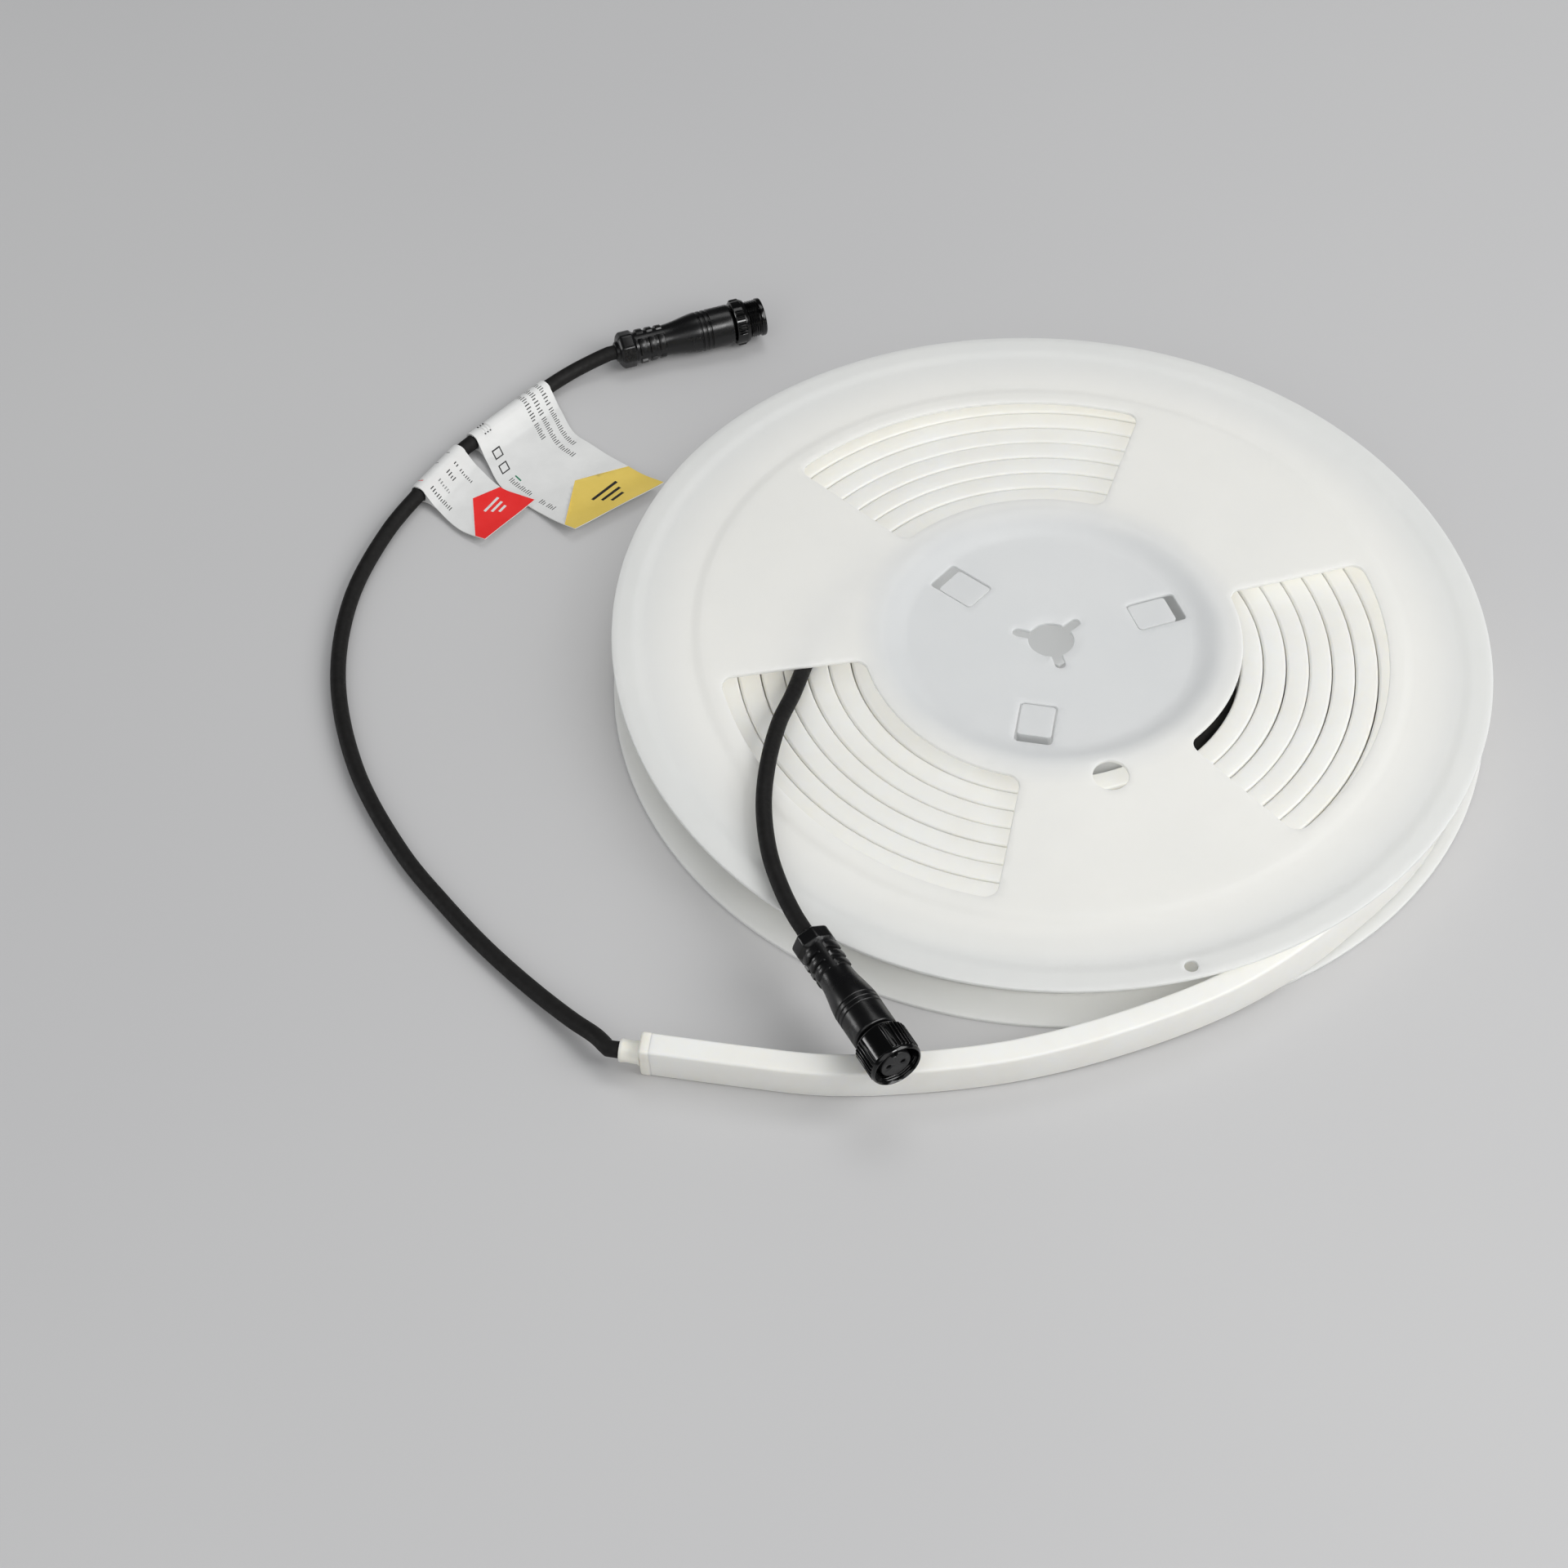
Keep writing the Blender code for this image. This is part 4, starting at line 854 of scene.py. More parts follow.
upper_holes = thirds(lambda turn: window_edge(WINDOW_ANGLE + turn)) + [spindle_edge()]
upper_holes += thirds(lambda turn: box_edge(TAB_SLOT, TAB_SLOT_MIDDLE, TAB_ANGLE + turn, 0.0011, True))
upper_holes.append(ring(FINGER_HOLE[0], 48, FINGER_HOLE[1], True))
upper_holes.append(ring(TIE_HOLE[0], 20, TIE_HOLE[1], True))
upper_radii = [0.0095 + 0.0025 * step for step in range(12)]
upper_radii += [0.0375, 0.0383, 0.0391, 0.0399, 0.0407, 0.0415, 0.0427]
upper_radii += [0.0435, 0.0443, 0.0451, 0.0459, 0.0467, 0.0485]
upper_radii += [0.0505 + 0.0022 * step for step in range(19)]
upper_radii += [0.0916 + 0.0008 * step for step in range(5)] + [0.0966, 0.0986, 0.1006, 0.1026, 0.1046]
upper_radii += [0.1062 + 0.0008 * step for step in range(6)] + [0.1114, 0.1130, 0.1142]
collar_ring = (ring(COLLAR_RADIUS, 192), COLLAR_END, ring(COLLAR_RADIUS - TUBE_WALL, 192))
upper = plate(ring(REEL_RADIUS, RIM_POINTS), upper_holes, upper_face, under_face, upper_radii,
              [], [collar_ring])
upper.transform(Matrix.Translation(REEL_CENTRE))
upper_look = milky_polypropylene("milky_polypropylene", painted_light_and_shade_tones, 0.9)
upper_half = finished("reel_upper_half_moulded", upper, upper_look)
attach(upper_half, "strip_on_reel")
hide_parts("reel_upper_half")

# ---------------------------------------------------------------------------
# Flag labels
# Two pieces of white self-adhesive film, each folded round the plug lead so
# that its ends stick together as a flag. The print is rows of plain strokes,
# and a coloured panel runs to a point at the end of each flag.
# ---------------------------------------------------------------------------
LABEL_FILM = 0.0003
LABEL_ROWS = 30
FOLD_TOP = math.radians(48)
FOLD_LOW = math.radians(-62)
FOLD_REACH = 0.0075
BAND_OUTER = CABLE_RADIUS + FIT + LABEL_FILM
BAND_ARC = BAND_OUTER * (math.pi - FOLD_TOP)
FOLD_START = BAND_OUTER * math.cos(FOLD_TOP)


def film(name, low, high):
    """Printed film: a slightly uneven tone under a satin coat with faint ripples."""
    look, nodes, links, shader = blank_finish(name)
    tone = grain(nodes, links, 130, 4, 0.6)
    links.new(ramp(nodes, links, tone, ((0.3, low), (0.7, high))), shader.inputs["Base Color"])
    links.new(spread(nodes, links, grain(nodes, links, 400, 3), 0.3, 0.44), shader.inputs["Roughness"])
    fine = relief(nodes, links, grain(nodes, links, 1800, 2), 0.00002, 0.25)
    links.new(relief(nodes, links, tone, 0.0003, 0.14, fine), shader.inputs["Normal"])
    return look


def hermite(x, x0, z0, slope0, x1, z1, slope1):
    t, width = (x - x0) / (x1 - x0), x1 - x0
    rise = (2 * t - 3) * t * t
    return (z0 * (1 + rise) - z1 * rise
            + slope0 * width * t * (1 - t) ** 2 - slope1 * width * t * t * (1 - t))


def zipper(shell, upper_row, lower_row):
    """Fills between two rows of (place along the row, corner)."""
    a = b = 0
    while a < len(upper_row) - 1 or b < len(lower_row) - 1:
        go_up = b == len(lower_row) - 1 or (
            a < len(upper_row) - 1 and upper_row[a + 1][0] <= lower_row[b + 1][0])
        third = upper_row[a + 1][1] if go_up else lower_row[b + 1][1]
        shell.faces.new((upper_row[a][1], third, lower_row[b][1]))
        a, b = (a + 1, b) if go_up else (a, b + 1)


def flag_label(name, start, end, reach, skew, heights, ripple, panel, marks, looks):
    """Panel is three (across, away) points of its inner edge. Marks are (across, along the film,
    width across, length, look number) of rectangles, with the film measured from behind the lead."""
    along, span = (end - start).normalized(), (end - start).length
    out = Vector((along.y, -along.x, 0)).normalized()
    levels = [start.z - BAND_OUTER * math.sin(math.radians(35))] + list(heights)
    levels = [2 * levels[0] - levels[1]] + levels + [2 * levels[-1] - levels[-2]]

    def tip(s):
        return reach[0] + (reach[1] - reach[0]) * s

    def flag_height(s, away):
        share = min(1, max(0, (away - BAND_OUTER) / (tip(s) - BAND_OUTER))) * len(heights)
        cell = min(int(share), len(heights) - 1)
        p0, p1, p2, p3 = levels[cell:cell + 4]
        t = share - cell
        smooth = p1 + 0.5 * t * (p2 - p0 + t * (2 * p0 - 5 * p1 + 4 * p2 - p3 + t * (3 * (p1 - p2) + p3 - p0)))
        roll = math.sin(away * 330 + s * 2.6) * math.cos(away * 120 - s * 5.2)
        return smooth + ripple * (1 + roll) * 0.5 * eased(away, 0.006, 0.016) * (0.35 + 0.65 * s)

    def placed(s, away, height):
        slide = skew * eased(away, 0, 0.02)
        spot = start + along * (span * s + slide) + out * away
        return (spot.x, spot.y, height)

    def on_band(s, angle, radius=BAND_OUTER):
        spot = start + along * span * s + out * radius * math.cos(angle)
        return (spot.x, spot.y, start.z + radius * math.sin(angle))

    def upper_film(s, run):
        if run <= BAND_ARC:
            return on_band(s, math.pi - run / BAND_OUTER)
        away = FOLD_START + run - BAND_ARC
        height = flag_height(s, max(away, FOLD_REACH)) + LABEL_FILM / 2
        if away < FOLD_REACH:
            height = hermite(away, FOLD_START, start.z + BAND_OUTER * math.sin(FOLD_TOP),
                             -1 / math.tan(FOLD_TOP), FOLD_REACH, height, -0.02)
        return placed(s, away, height)

    low_start = BAND_OUTER * math.cos(FOLD_LOW)

    def lower_film(s, away):
        meet = 0.005
        height = flag_height(s, max(away, meet)) - LABEL_FILM / 2
        if away < meet:
            height = hermite(away, low_start, start.z + BAND_OUTER * math.sin(FOLD_LOW),
                             -1 / math.tan(FOLD_LOW), meet, height, -0.01)
        return placed(s, away, height)

    shell = bmesh.new()
    film_runs = [BAND_ARC * step / 12 for step in range(13)]
    film_runs += [BAND_ARC + (FOLD_REACH - FOLD_START) * step / 12 for step in range(1, 13)]
    flat_start, flat_steps = film_runs[-1], 26
    shares = [s / LABEL_ROWS for s in range(LABEL_ROWS + 1)]

    def runs_at(s, extra=None):
        tip_run = BAND_ARC + tip(s) - FOLD_START
        flat_runs = [(tip_run - flat_start) * step / flat_steps for step in range(1, flat_steps + 1)]
        runs = film_runs + [flat_start + run for run in flat_runs]
        if extra is not None:
            runs = sorted([run for run in runs if abs(run - extra) > 0.0004] + [extra])
        return runs

    panel_runs = [BAND_ARC + away - FOLD_START for _, away in panel]
    sides = []
    for s, extra in ((0, panel_runs[0]), (1, panel_runs[2])):
        sides.append([(run, shell.verts.new(upper_film(s, run))) for run in runs_at(s, extra)])
    backs = [sides[0][0][1]] + [shell.verts.new(upper_film(s, 0)) for s in shares[1:-1]] + [sides[1][0][1]]
    tips = [sides[0][-1][1]]
    tips += [shell.verts.new(upper_film(s, runs_at(s)[-1])) for s in shares[1:-1]] + [sides[1][-1][1]]
    flat, corners = [], []
    for run, corner in sides[0]:
        flat.append((0, run)), corners.append(corner)
    for s, corner in zip(shares[1:], tips[1:]):
        flat.append((s * span, runs_at(s)[-1])), corners.append(corner)
    for run, corner in sides[1][-2::-1]:
        flat.append((span, run)), corners.append(corner)
    for s, corner in zip(shares[-2:0:-1], backs[-2:0:-1]):
        flat.append((s * span, 0)), corners.append(corner)
    border = len(flat)
    lines = [(i, (i + 1) % border) for i in range(border)]
    panel_edge = [(0, panel_runs[0]), (panel[1][0], panel_runs[1]), (span, panel_runs[2])]
    flat.append(panel_edge[1])
    lines += [([i for i, p in enumerate(flat[:border]) if p == panel_edge[0]][0], border),
              (border, [i for i, p in enumerate(flat[:border]) if p == panel_edge[2]][0])]
    for across, run, width, length, _ in marks:
        first = len(flat)
        flat += [(across - width / 2, run), (across + width / 2, run),
                 (across + width / 2, run + length), (across - width / 2, run + length)]
        lines += [(first + i, first + (i + 1) % 4) for i in range(4)]
    for s in shares[1:-1]:
        flat += [(s * span, run) for run in runs_at(s)[1:-1]]
    made = delaunay_2d_cdt([Vector(p) for p in flat], lines, [], 0, 1e-7)
    for index, (place, source) in enumerate(zip(made[0], made[3])):
        known = [i for i in source if i < border]
        if not known:
            corners.append(shell.verts.new(upper_film(place.x / span, place.y)))
        made[3][index] = corners[known[0]] if known else corners[-1]
    for triangle in made[2]:
        face = shell.faces.new([made[3][i] for i in triangle])
        x = sum(made[0][i].x for i in triangle) / 3
        run = sum(made[0][i].y for i in triangle) / 3
        (x0, y0), (x1, y1), (x2, y2) = panel_edge
        edge = y0 + (y1 - y0) * x / x1 if x < x1 else y1 + (y2 - y1) * (x - x1) / (x2 - x1)
        face.material_index = 1 if run > edge else 0
        for across, first_run, width, length, look in marks:
            if abs(x - across) < width / 2 and first_run < run < first_run + length:
                face.material_index = look

    inner = CABLE_RADIUS + FIT
    turns = [math.pi + (FOLD_TOP - math.pi) * step / 12 for step in range(12)]
    turns += [FOLD_TOP + (FOLD_LOW - FOLD_TOP) * step / 10 for step in range(10)]
    turns += [FOLD_LOW - (math.pi + FOLD_LOW) * step / 10 for step in range(10)]
    bores = [[shell.verts.new(on_band(s, angle, inner)) for angle in turns] for s in shares]
    lows = []
    for s, back, far in zip(shares, backs, tips):
        under = [-math.pi + (math.pi + FOLD_LOW) * step / 10 for step in range(1, 10)]
        row = [back] + [shell.verts.new(on_band(s, angle)) for angle in under]
        steps = [low_start + (0.005 - low_start) * step / 8 for step in range(9)]
        steps += [0.005 + (tip(s) - 0.005) * step / 28 for step in range(1, 29)]
        row += [shell.verts.new(lower_film(s, away)) for away in steps]
        lows.append((row + [far], [low_start] * 10 + steps))
    for (first, _), (second, _) in zip(lows, lows[1:]):
        for a, b, c, d in zip(first, first[1:], second[1:], second):
            shell.faces.new((a, b, c, d))
    for first, second in zip(bores, bores[1:]):
        for step in range(len(turns)):
            after = (step + 1) % len(turns)
            shell.faces.new((first[step], first[after], second[after], second[step]))
    for side, (low_row, low_reach), bore in zip(sides, (lows[0], lows[-1]), (bores[0], bores[-1])):
        band = [corner for run, corner in side if run <= BAND_ARC + 1e-9]
        film_part = [(FOLD_START + run - BAND_ARC, corner) for run, corner in side if run >= BAND_ARC - 1e-9]
        low_part = list(zip(low_reach[10:], low_row[10:-1]))
        split_a = next(i for i, (away, _) in enumerate(film_part) if away > BAND_OUTER * 1.06)
        split_b = next(i for i, (away, _) in enumerate(low_part) if away > BAND_OUTER * 1.06)
        shell.faces.new(band + bore[12::-1])
        shell.faces.new(low_row[:11] + bore[22:] + bore[:1])
        throat = [c for _, c in film_part[:split_a + 1]] + [c for _, c in low_part[split_b::-1]]
        shell.faces.new(throat + bore[22:11:-1])
        zipper(shell, film_part[split_a:], low_part[split_b:])
    shell.transform(Matrix.Translation(REEL_CENTRE))
    bmesh.ops.triangulate(shell, faces=[f for f in shell.faces if len(f.verts) > 4], ngon_method="EAR_CLIP")
    made = finished(name, shell, looks[0], 50, True)
    for look in looks[1:]:
        made.data.materials.append(look)
    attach(made, "strip_on_reel")
    return made


def stroke_row(across, run, words, height, look=2, pitch=0.00074, thick=0.00026):
    """A line of print: upright strokes in groups, every third one shorter."""
    made = []
    for count in words:
        for stroke in range(count):
            tall = height * (0.72 if stroke % 3 == 2 else 1)
            made.append((across - (height - tall) / 2, run, tall, thick, look))
            run += pitch
        run += pitch * 0.8
    return made


def square_ring(across, run, size, thick, look=2):
    half = (size - thick) / 2
    return [(across, run, size, thick, look), (across, run + size - thick, size, thick, look),
            (across - half, run + thick, thick, size - 2 * thick, look),
            (across + half, run + thick, thick, size - 2 * thick, look)]


film_white = film("label_film_white", (0.78, 0.78, 0.765), (0.84, 0.84, 0.825))
ink_black = film("label_ink_black", (0.022, 0.021, 0.022), (0.035, 0.034, 0.034))
ink_grey = film("label_ink_grey", (0.20, 0.205, 0.205), (0.30, 0.305, 0.30))
ink_yellow = film("label_ink_yellow", (0.84, 0.62, 0.125), (0.90, 0.67, 0.15))
ink_red = film("label_ink_red", (0.94, 0.024, 0.023), (0.98, 0.032, 0.030))
ink_green = film("label_ink_green", (0.015, 0.19, 0.10), (0.025, 0.25, 0.13))

type_marks = stroke_row(0.0266, 0.0023, (10, 20), 0.0016) + stroke_row(0.0231, 0.0026, (11, 14, 8), 0.0017)
type_marks += stroke_row(0.0200, 0.0020, (12, 8), 0.0017)
type_marks += [(0.0036 + 0.001 * step, 0.0024, 0.0005, 0.0040, 2) for step in range(3)]
type_marks += square_ring(0.0044, 0.0102, 0.0031, 0.0004) + square_ring(0.0042, 0.0152, 0.0031, 0.0004)
type_marks += [(0.0058, 0.0212, 0.0005, 0.0026, 3)]
type_marks += stroke_row(0.0040, 0.0212, (12,), 0.0016) + stroke_row(0.0036, 0.0336, (3, 4), 0.0017)
type_marks += [(0.0176, 0.0443 + 0.0025 * step, 0.0098 - 0.0026 * step, 0.0010, 2) for step in range(3)]
tone_marks = stroke_row(0.0145, 0.0066, (2, 7), 0.0010) + stroke_row(0.0109, 0.0068, (4,), 0.0016)
tone_marks += stroke_row(0.0068, 0.0068, (6,), 0.0011, 3) + stroke_row(0.0032, 0.0068, (11,), 0.0014)
tone_marks += [(0.0160, 0.0022, 0.0004, 0.0014, 3), (0.0112, 0.0018, 0.0004, 0.0014, 3),
               (0.0030, 0.0016, 0.0004, 0.0022, 1)]
tone_marks += [(0.0128, 0.0226 + 0.0019 * step, 0.0066 - 0.0018 * step, 0.0008, 0) for step in range(3)]

lead_marks = [Vector(point) for point in PLUG_LEAD_ROUTE[10:14]]
type_label = flag_label(
    "type_label_film", lead_marks[2], lead_marks[3], (0.0460, 0.0520), -0.0065,
    (0.0012, 0.0006, 0.0004, 0.0004, 0.0006, 0.0012, 0.0022, 0.0036), 0.0005,
    ((0, 0.0420), (0.0159, 0.0306), (0.0294, 0.0384)), type_marks,
    [film_white, ink_yellow, ink_black, ink_green])
tone_label = flag_label(
    "tone_label_film", lead_marks[0], lead_marks[1], (0.0255, 0.0285), -0.0045,
    (0.0018, 0.0013, 0.0012, 0.0014, 0.0019, 0.0026), 0.0003,
    ((0, 0.0222), (0.0109, 0.0127), (0.0197, 0.0165)), tone_marks, [film_white, ink_red, ink_black, ink_grey])
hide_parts("type_label")
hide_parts("tone_label")

# ---------------------------------------------------------------------------
# Connector mouldings
# Soft black plastic moulded in one shot over the end of each lead: a tail
# with eight flats, three bands cut through for bending, a waist, and a
# smooth barrel with three grip grooves.
# ---------------------------------------------------------------------------
MOULDING_SIDES = 96
SLOT_TURN = math.radians(7.5)
SLOT_DEPTH = 0.0006
BAND_FLOOR = 0.0044


def black_plastic(name, low, high, dull, bump):
    """Black plastic: a barely uneven tone, handling marks in its shine, a fine skin."""
    look, nodes, links, shader = blank_finish(name)
    tone = grain(nodes, links, 420, 4, 0.6)
    links.new(ramp(nodes, links, tone, ((0.3, low), (0.7, high))), shader.inputs["Base Color"])
    rubbed = grain(nodes, links, 210, 5, 0.7, (1, 1, 0.4))
    links.new(spread(nodes, links, rubbed, *dull), shader.inputs["Roughness"])
    fine = relief(nodes, links, grain(nodes, links, 5200, 2), 0.00002, bump)
    links.new(relief(nodes, links, rubbed, 0.00012, 0.12, fine), shader.inputs["Normal"])
    shader.inputs["Specular IOR Level"].default_value = 0.5
    return look


moulding_look = black_plastic("satin_black_moulding", (0.003, 0.003, 0.0034), (0.0048, 0.0048, 0.0052),
                              (0.24, 0.34), 0.25)
plug_place, socket_place = (
    Matrix.Translation(REEL_CENTRE + tail) @ way.to_track_quat("Z", "Y").to_matrix().to_4x4()
    for tail, way in ((PLUG_TAIL, plug_way), (SOCKET_TAIL, socket_way)))


def overmoulding(name, place):
    rows = [(0, 0, ""), (2.16, 0, ""), (2.16, -0.75, ""), (2.45, -0.9, ""), (2.8, -0.75, ""), (3.0, -0.3, ""),
            (3.15, 0, ""), (3.9, 0, "flat"), (4.2, 0.12, "flat"), (4.8, 0.75, "flat"), (4.96, 1.0, "flat"),
            (5.0, 1.3, "flat"), (5.0, 3.9, "flat"), (4.95, 4.2, "flat"), (4.8, 4.4, "flat"), (4.45, 4.9, ""),
            (4.4, 5.5, "")]
    for low, high, reach in ((5.8, 7.8, 5.0), (8.8, 10.6, 4.9), (11.6, 13.4, 4.8)):
        rows += [(4.4, low - 0.12, ""), (reach - 0.25, low, "band"), (reach - 0.07, low + 0.08, "band"),
                 (reach, low + 0.28, "band"), (reach, high - 0.28, "band"), (reach - 0.07, high - 0.08, "band"),
                 (reach - 0.25, high, "band"), (4.4, high + 0.12, "")]
    rows += [(4.42, 13.9, ""), (4.48, 14.6, "")]
    for step in range(1, 19):
        share = step / 18
        rows.append((4.48 + 1.32 * (0.45 * share + 0.55 * eased(share, 0, 1)), 14.6 + 9.1 * share, ""))
    for groove in range(3):
        low = 23.9 + 1.4 * groove
        rows += [(5.8, low, ""), (5.74, low + 0.08, ""), (5.5, low + 0.24, ""), (5.5, low + 0.42, ""),
                 (5.74, low + 0.58, ""), (5.8, low + 0.66, "")]
    rows += [(5.8, 28.2, ""), (5.8, 30.8, ""), (5.8, 33.2, ""), (5.76, 33.5, ""), (5.62, 33.8, ""),
             (5.4, 33.95, ""), (5.1, 34.0, ""), (3.6, 34.0, ""), (3.6, 31.0, ""), (0, 31.0, "")]

    def shape(index, radius, height, angle):
        kind = rows[index][2]
        if kind == "flat":
            return min(radius / math.cos(angle % (math.pi / 4) - math.pi / 8), radius * 1.064)
        if kind == "band":
            off = abs((angle - SLOT_TURN + math.pi / 4) % (math.pi / 2) - math.pi / 4)
            return max(BAND_FLOOR, radius - SLOT_DEPTH * (1 - eased(off, 0.20, 0.27)))
        return radius

    shell = lathe([(radius / 1000, height / 1000) for radius, height, _ in rows], MOULDING_SIDES, shape)
    shell.transform(place)
    made = finished(name, shell, moulding_look, 34, True)
    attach(made, "strip_on_reel")
    return made


plug_moulding = overmoulding("plug_moulding_fine", plug_place)
socket_moulding = overmoulding("socket_moulding_fine", socket_place)
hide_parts("plug_moulding")
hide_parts("socket_moulding")

# ---------------------------------------------------------------------------
# Plug screw collar
# Glossy black nylon that turns freely on the plug: a narrow grip ring with
# three groups of ribs, then a hollow neck with the outer half of the coupling
# thread.
# ---------------------------------------------------------------------------
THREAD_PITCH = 0.0007
collar_look = black_plastic("glossy_black_nylon", (0.0012, 0.0012, 0.0014), (0.002, 0.002, 0.0022),
                            (0.13, 0.2), 0.1)


def coupling(name, rows, sides, thread):
    """A turned ring. Rows marked as thread wave in and out along a screw line."""
    def shape(index, radius, height, angle):
        if rows[index][2] != "thread":
            return radius
        place = (height / THREAD_PITCH - angle / (2 * math.pi)) % 1
        return radius + thread * (1 - abs(2 * place - 1))

    shell = lathe([(radius / 1000, height / 1000) for radius, height, _ in rows], sides, shape, True)
    return finished(name, shell, collar_look, 30, True)


def grip_rib(low, high, width, rise):
    """A bar with a rounded back, whose foot is sunk in the ring that it stands on."""
    section = ((-0.5, -1.2), (-0.5, 0), (-0.36, 0.72), (0, 1), (0.36, 0.72), (0.5, 0), (0.5, -1.2))
    shell = bmesh.new()
    rows = []
    for height, share in ((low, -0.6), (low + rise * 0.5, 0.7), (low + rise, 1), (high - rise, 1),
                          (high - rise * 0.5, 0.7), (high, -0.6)):
        rows.append([shell.verts.new((rise * min(up, up * share if up > 0 else up), across * width, height))
                     for across, up in section])
    for first, second in zip(rows, rows[1:]):
        bridge(shell, first, second)
    shell.faces.new(rows[0][::-1])
    shell.faces.new(rows[-1])
    return finished("grip_rib", shell, collar_look, 50, True)


rib_tree, given, result, add = node_tree("grip_ribs", (
    ("Body", "geometry"), ("Rib", "object"), ("Count", "count"), ("Group", "count"), ("Bare", "length"),
    ("Reach", "length"), ("Finish", "finish")))
spots = add("MeshCircle", [("Vertices", given["Count"]), ("Radius", given["Reach"])])
where = rib_tree.nodes.new("GeometryNodeInputPosition")
facing = rib_tree.nodes.new("FunctionNodeAlignRotationToVector")
facing.axis, facing.pivot_axis = "X", "Z"
rib_tree.links.new(where.outputs["Position"], facing.inputs["Vector"])
bar = add("ObjectInfo", [("Object", given["Rib"])])
order = rib_tree.nodes.new("GeometryNodeInputIndex")
in_group = rib_tree.nodes.new("ShaderNodeMath")
in_group.operation = "MODULO"
rib_tree.links.new(order.outputs["Index"], in_group.inputs[0])
rib_tree.links.new(given["Group"], in_group.inputs[1])
past_panel = rib_tree.nodes.new("ShaderNodeMath")
past_panel.operation = "GREATER_THAN"
rib_tree.links.new(in_group.outputs[0], past_panel.inputs[0])
rib_tree.links.new(given["Bare"], past_panel.inputs[1])
stood = add("InstanceOnPoints", [("Points", spots.outputs["Mesh"]), ("Instance", bar.outputs["Geometry"]),
                                 ("Rotation", facing.outputs["Rotation"]),
                                 ("Selection", past_panel.outputs[0])])
whole = rib_tree.nodes.new("GeometryNodeJoinGeometry")
for part in (given["Body"], stood.outputs["Instances"]):
    rib_tree.links.new(part, whole.inputs["Geometry"])
real = add("RealizeInstances", [("Geometry", whole.outputs["Geometry"])])
dressed = add("SetMaterial", [("Geometry", real.outputs["Geometry"]), ("Material", given["Finish"])])
rib_tree.links.new(dressed.outputs["Geometry"], result)


def ribbed(body, rib, count, bare, reach, turn, name, place, rides):
    """Ribs round the body in three groups, with a bare grip panel of that many places before each."""
    made = grown(body, rib_tree, {"Rib": rib, "Count": count, "Group": count // 3, "Bare": bare - 0.5,
                                  "Reach": reach, "Finish": collar_look}, name)
    bpy.data.objects.remove(rib)
    made.data.transform(place @ Matrix.Rotation(turn, 4, "Z"))
    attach(made, rides)
    return made


neck = [(5.0 if step < 2 else 4.98, 38.65 + 0.0875 * step, "thread") for step in range(36)]
collar_rows = [(3.6, 34.4, ""), (5.7, 34.4, ""), (6.05, 34.5, ""), (6.3, 34.75, ""), (6.3, 37.2, ""),
               (6.42, 37.3, ""), (6.36, 37.55, ""), (6.0, 38.3, ""), (5.85, 38.4, ""), (5.1, 38.42, "")]
collar_rows += neck + [(4.95, 41.85, ""), (5.0, 42.0, ""), (5.4, 42.25, ""), (5.5, 42.4, ""), (5.5, 43.1, ""),
                       (5.42, 43.35, ""), (5.25, 43.5, ""), (4.9, 43.5, ""), (4.8, 43.4, ""), (4.8, 35.4, ""),
                       (3.6, 35.4, "")]
plug_collar = ribbed(coupling("plug_collar_turned", collar_rows, 144, 0.00033),
                     grip_rib(0.0347, 0.0375, 0.00050, 0.00045),
                     45, 6, 0.00625, math.radians(60.6), "plug_screw_collar_ribbed", plug_place, "plug_collar")
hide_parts("plug_screw_collar")

# ---------------------------------------------------------------------------
# Socket nut
# The same nylon: a union nut with three groups of straight ribs,
# a bright lip round its mouth, and the inner half of the coupling thread.
# ---------------------------------------------------------------------------
bore = [(5.62, 43.3 - 0.0875 * step, "thread") for step in range(48)]
nut_rows = [(3.6, 34.4, ""), (5.2, 34.4, ""), (5.5, 34.5, ""), (6.2, 35.3, ""), (6.34, 35.7, ""), (6.36, 36.0, ""),
            (6.36, 42.9, ""), (6.5, 43.1, ""), (6.62, 43.3, ""), (6.6, 43.5, ""), (6.35, 44.0, ""), (6.15, 44.2, ""),
            (6.0, 44.2, ""), (5.9, 44.1, ""), (5.7, 43.6, "")]
nut_rows += bore + [(5.6, 39.0, ""), (5.6, 35.6, ""), (3.6, 35.6, "")]
socket_nut = ribbed(coupling("socket_nut_turned", nut_rows, 144, 0.00022),
                    grip_rib(0.0355, 0.0433, 0.00062, 0.00044),
                    36, 4, 0.00636, math.radians(105), "socket_nut_ribbed", socket_place, "socket_coupling")
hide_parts("socket_nut")

# ---------------------------------------------------------------------------
# Contact inserts
# Dull black nylon glued in the barrels. The plug's is a cup with a keyway and
# two brass pins in its floor. The socket's is a keyed nose with two drilled
# mouths, and a brass sleeve in each.
# ---------------------------------------------------------------------------
CONTACT_OFFSET = 0.0019
KEY_ANGLE = math.radians(97.5)
KEY_DEPTH = 0.0010
insert_look = black_plastic("dull_black_insert", (0.007, 0.007, 0.0075), (0.010, 0.010, 0.0105),
                            (0.36, 0.48), 0.3)
brass_look, nodes, links, shader = blank_finish("turned_brass")
tone = grain(nodes, links, 900, 4, 0.6)
links.new(ramp(nodes, links, tone, ((0.3, (0.72, 0.56, 0.28)), (0.7, (0.82, 0.67, 0.36)))),
          shader.inputs["Base Color"])
links.new(spread(nodes, links, grain(nodes, links, 2600, 3), 0.18, 0.32), shader.inputs["Roughness"])
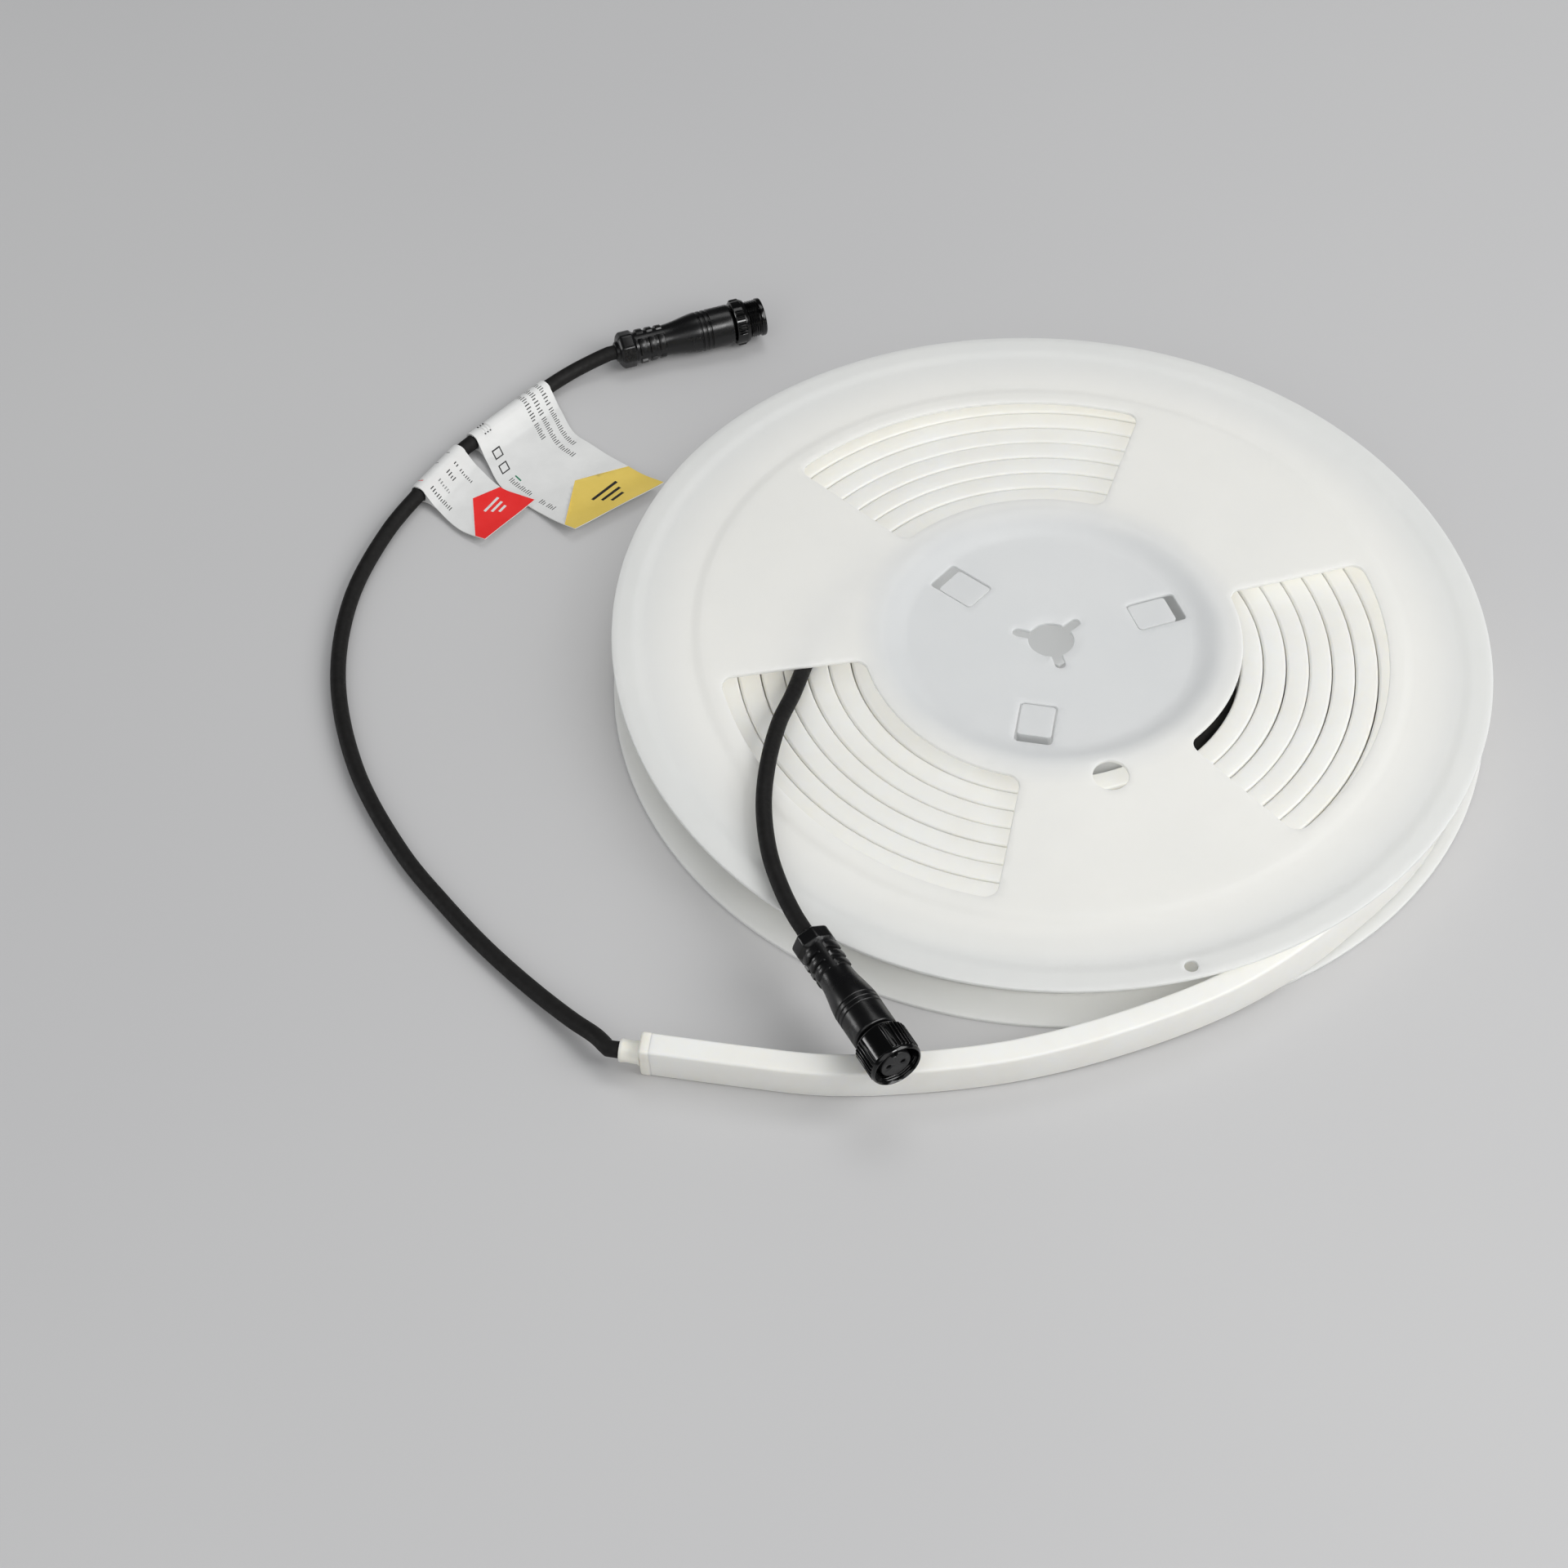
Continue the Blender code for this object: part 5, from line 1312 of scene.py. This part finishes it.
links.new(relief(nodes, links, grain(nodes, links, 6000, 2, 0.5, (1, 1, 6)), 0.00001, 0.3),
          shader.inputs["Normal"])
shader.inputs["Metallic"].default_value = 1.0


def insert(name, rows, place, holes=None):
    """A turned insert with a keyway in the rows marked so, and drilled where it has holes."""
    def shape(index, radius, height, angle):
        off = abs(angle - KEY_ANGLE)
        return radius - KEY_DEPTH * (1 - eased(off, 0.17, 0.22)) if rows[index][2] == "key" else radius

    shell = lathe([(radius / 1000, height / 1000) for radius, height, _ in rows], 96, shape)
    made = finished(name, shell, insert_look, 30, True)
    if holes:
        drill = bmesh.new()
        for side in (-1, 1):
            cut = lathe([(0, holes[1]), (holes[0], holes[1]), (holes[0], holes[2] - 0.0002),
                         (holes[0] + 0.0008, holes[2] + 0.0006), (0, holes[2] + 0.0006)], 32)
            cut.transform(Matrix.Translation((side * CONTACT_OFFSET, 0, 0)))
            kept = bpy.data.meshes.new("drill")
            cut.to_mesh(kept)
            cut.free()
            drill.from_mesh(kept)
        drill_bit = finished("drill_bit", drill, insert_look, 30, True)
        cutting = made.modifiers.new("drilled", "BOOLEAN")
        cutting.operation, cutting.solver, cutting.object = "DIFFERENCE", "EXACT", drill_bit
        graph = bpy.context.evaluated_depsgraph_get()
        drilled = bpy.data.meshes.new_from_object(made.evaluated_get(graph))
        made.modifiers.clear()
        made.data = drilled
        bpy.data.objects.remove(drill_bit)
    made.data.transform(place)
    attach(made, "strip_on_reel")
    return made


def contact(name, profile, closed, side, place):
    shell = lathe([(radius / 1000, height / 1000) for radius, height in profile], 32, None, closed)
    shell.transform(place @ Matrix.Translation((side * CONTACT_OFFSET, 0, 0)))
    made = finished(name, shell, brass_look, 30, True)
    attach(made, "strip_on_reel")
    return made


plug_insert = insert("plug_insert_moulded", [
    (0, 31.3, ""), (3.3, 31.3, ""), (3.3, 35.7, ""), (4.5, 35.7, ""), (4.5, 41.1, ""), (4.42, 41.2, ""),
    (4.25, 41.2, "key"), (4.15, 41.1, "key"), (4.15, 37.3, "key"), (4.0, 37.1, "key"), (0, 37.1, "")],
    plug_place)
socket_insert = insert("socket_insert_moulded", [
    (0, 31.3, ""), (3.3, 31.3, ""), (3.3, 35.9, ""), (5.2, 35.9, ""), (5.2, 37.2, ""), (4.0, 37.2, "key"),
    (4.0, 43.1, "key"), (3.95, 43.3, "key"), (3.82, 43.45, "key"), (3.65, 43.5, "key"), (0, 43.5, "")],
    socket_place, (0.00065, 0.0350, 0.0435))
pin = [(0, 34.2), (0.5, 34.2), (0.5, 39.6), (0.47, 39.95), (0.38, 40.2), (0.22, 40.36), (0, 40.4)]
sleeve = [(0.5, 35.2), (0.64, 35.2), (0.64, 41.7), (0.5, 41.7)]
plug_contacts = [contact(f"plug_pin_{mark}_turned", pin, False, side, plug_place)
                 for side, mark in ((-1, "a"), (1, "b"))]
socket_contacts = [contact(f"socket_sleeve_{mark}_turned", sleeve, True, side, socket_place)
                   for side, mark in ((-1, "a"), (1, "b"))]
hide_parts("plug_contact_carrier")
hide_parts("socket_contact_carrier")
contact_nodes = ("plug_pin_a", "plug_pin_b", "socket_contact_a", "socket_contact_b")
for piece, node in zip(plug_contacts + socket_contacts, contact_nodes):
    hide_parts(node)

# ---------------------------------------------------------------------------
# Studio
# A seamless pale grey floor, a large soft light on the right, weaker ones
# behind and at the front left, two cards that only show as gloss on the black
# plastic, and the camera at the photograph's angle.
# ---------------------------------------------------------------------------
CAMERA_PLACE = Vector((-0.06978, -0.62193, 0.68748))
CAMERA_DOWN = math.radians(49.025)
CAMERA_ROLL = math.radians(0.276)
CAMERA_LENS = 36 * 4307.6 / 1920

sight = Vector((0, math.cos(CAMERA_DOWN), -math.sin(CAMERA_DOWN)))
level = Vector((1, 0, 0))
crown = level.cross(sight)
camera_x = level * math.cos(CAMERA_ROLL) + crown * math.sin(CAMERA_ROLL)
camera_y = crown * math.cos(CAMERA_ROLL) - level * math.sin(CAMERA_ROLL)
camera_data = bpy.data.cameras.new("photo_camera")
camera_data.sensor_width = 36
camera_data.sensor_fit = "HORIZONTAL"
camera_data.lens = CAMERA_LENS
camera_data.clip_start = 0.01
camera = bpy.data.objects.new("photo_camera", camera_data)
bpy.context.scene.collection.objects.link(camera)
pose = Matrix((camera_x, camera_y, -sight)).transposed().to_4x4()
camera.matrix_world = Matrix.Translation(CAMERA_PLACE) @ pose
bpy.context.scene.camera = camera

floor_look, nodes, links, shader = blank_finish("studio_floor")
floor_tone = grain(nodes, links, 3, 2)
links.new(ramp(nodes, links, floor_tone, ((0.3, (0.578, 0.573, 0.575)), (0.7, (0.608, 0.603, 0.601)))),
          shader.inputs["Base Color"])
shader.inputs["Roughness"].default_value = 0.9
shader.inputs["Specular IOR Level"].default_value = 0.05
floor_shell = bmesh.new()
for x, y in ((-3, -3), (3, -3), (3, 3), (-3, 3)):
    floor_shell.verts.new((x, y, -0.00005))
floor_shell.faces.new(floor_shell.verts)
floor = finished("studio_floor", floor_shell, floor_look)


def soft_light(name, place, aim, size, power, tint=(1, 1, 1)):
    data = bpy.data.lights.new(name, "AREA")
    data.shape = "RECTANGLE"
    data.size, data.size_y = size
    data.energy = power
    data.color = tint
    made = bpy.data.objects.new(name, data)
    bpy.context.scene.collection.objects.link(made)
    made.matrix_world = Matrix.Translation(place) @ (
        (Vector(aim) - Vector(place)).to_track_quat("-Z", "Y").to_matrix().to_4x4())
    return made


soft_light("key_softbox", (0.95, -0.40, 0.95), (0, 0, 0), (0.9, 0.9), 11.2)
soft_light("top_softbox", (0.15, 0.55, 1.25), (0, 0, 0), (0.7, 0.5), 2.2)
soft_light("fill_softbox", (-0.45, -1.0, 0.85), (0, 0, 0), (1.2, 1.0), 3.7)
for card in (soft_light("front_gloss_card", (0.50, -0.87, 1.10), (-0.1, 0.14, 0), (0.34, 0.34), 5.5),
             soft_light("left_gloss_card", (-1.45, 0.08, 0.22), (-0.06, -0.1, 0.02), (0.3, 0.3), 2.4)):
    card.visible_diffuse = False
world = bpy.data.worlds.new("studio_room")
world.use_nodes = True
room = world.node_tree.nodes["Background"]
room.inputs["Color"].default_value = (0.86, 0.88, 0.9, 1)
path = world.node_tree.nodes.new("ShaderNodeLightPath")
dimmed = world.node_tree.nodes.new("ShaderNodeMath")
dimmed.operation = "MULTIPLY_ADD"
dimmed.inputs[1].default_value = -0.365
dimmed.inputs[2].default_value = 0.425
world.node_tree.links.new(path.outputs["Is Glossy Ray"], dimmed.inputs[0])
world.node_tree.links.new(dimmed.outputs[0], room.inputs["Strength"])
bpy.context.scene.world = world
bpy.context.scene.view_settings.view_transform = "Standard"
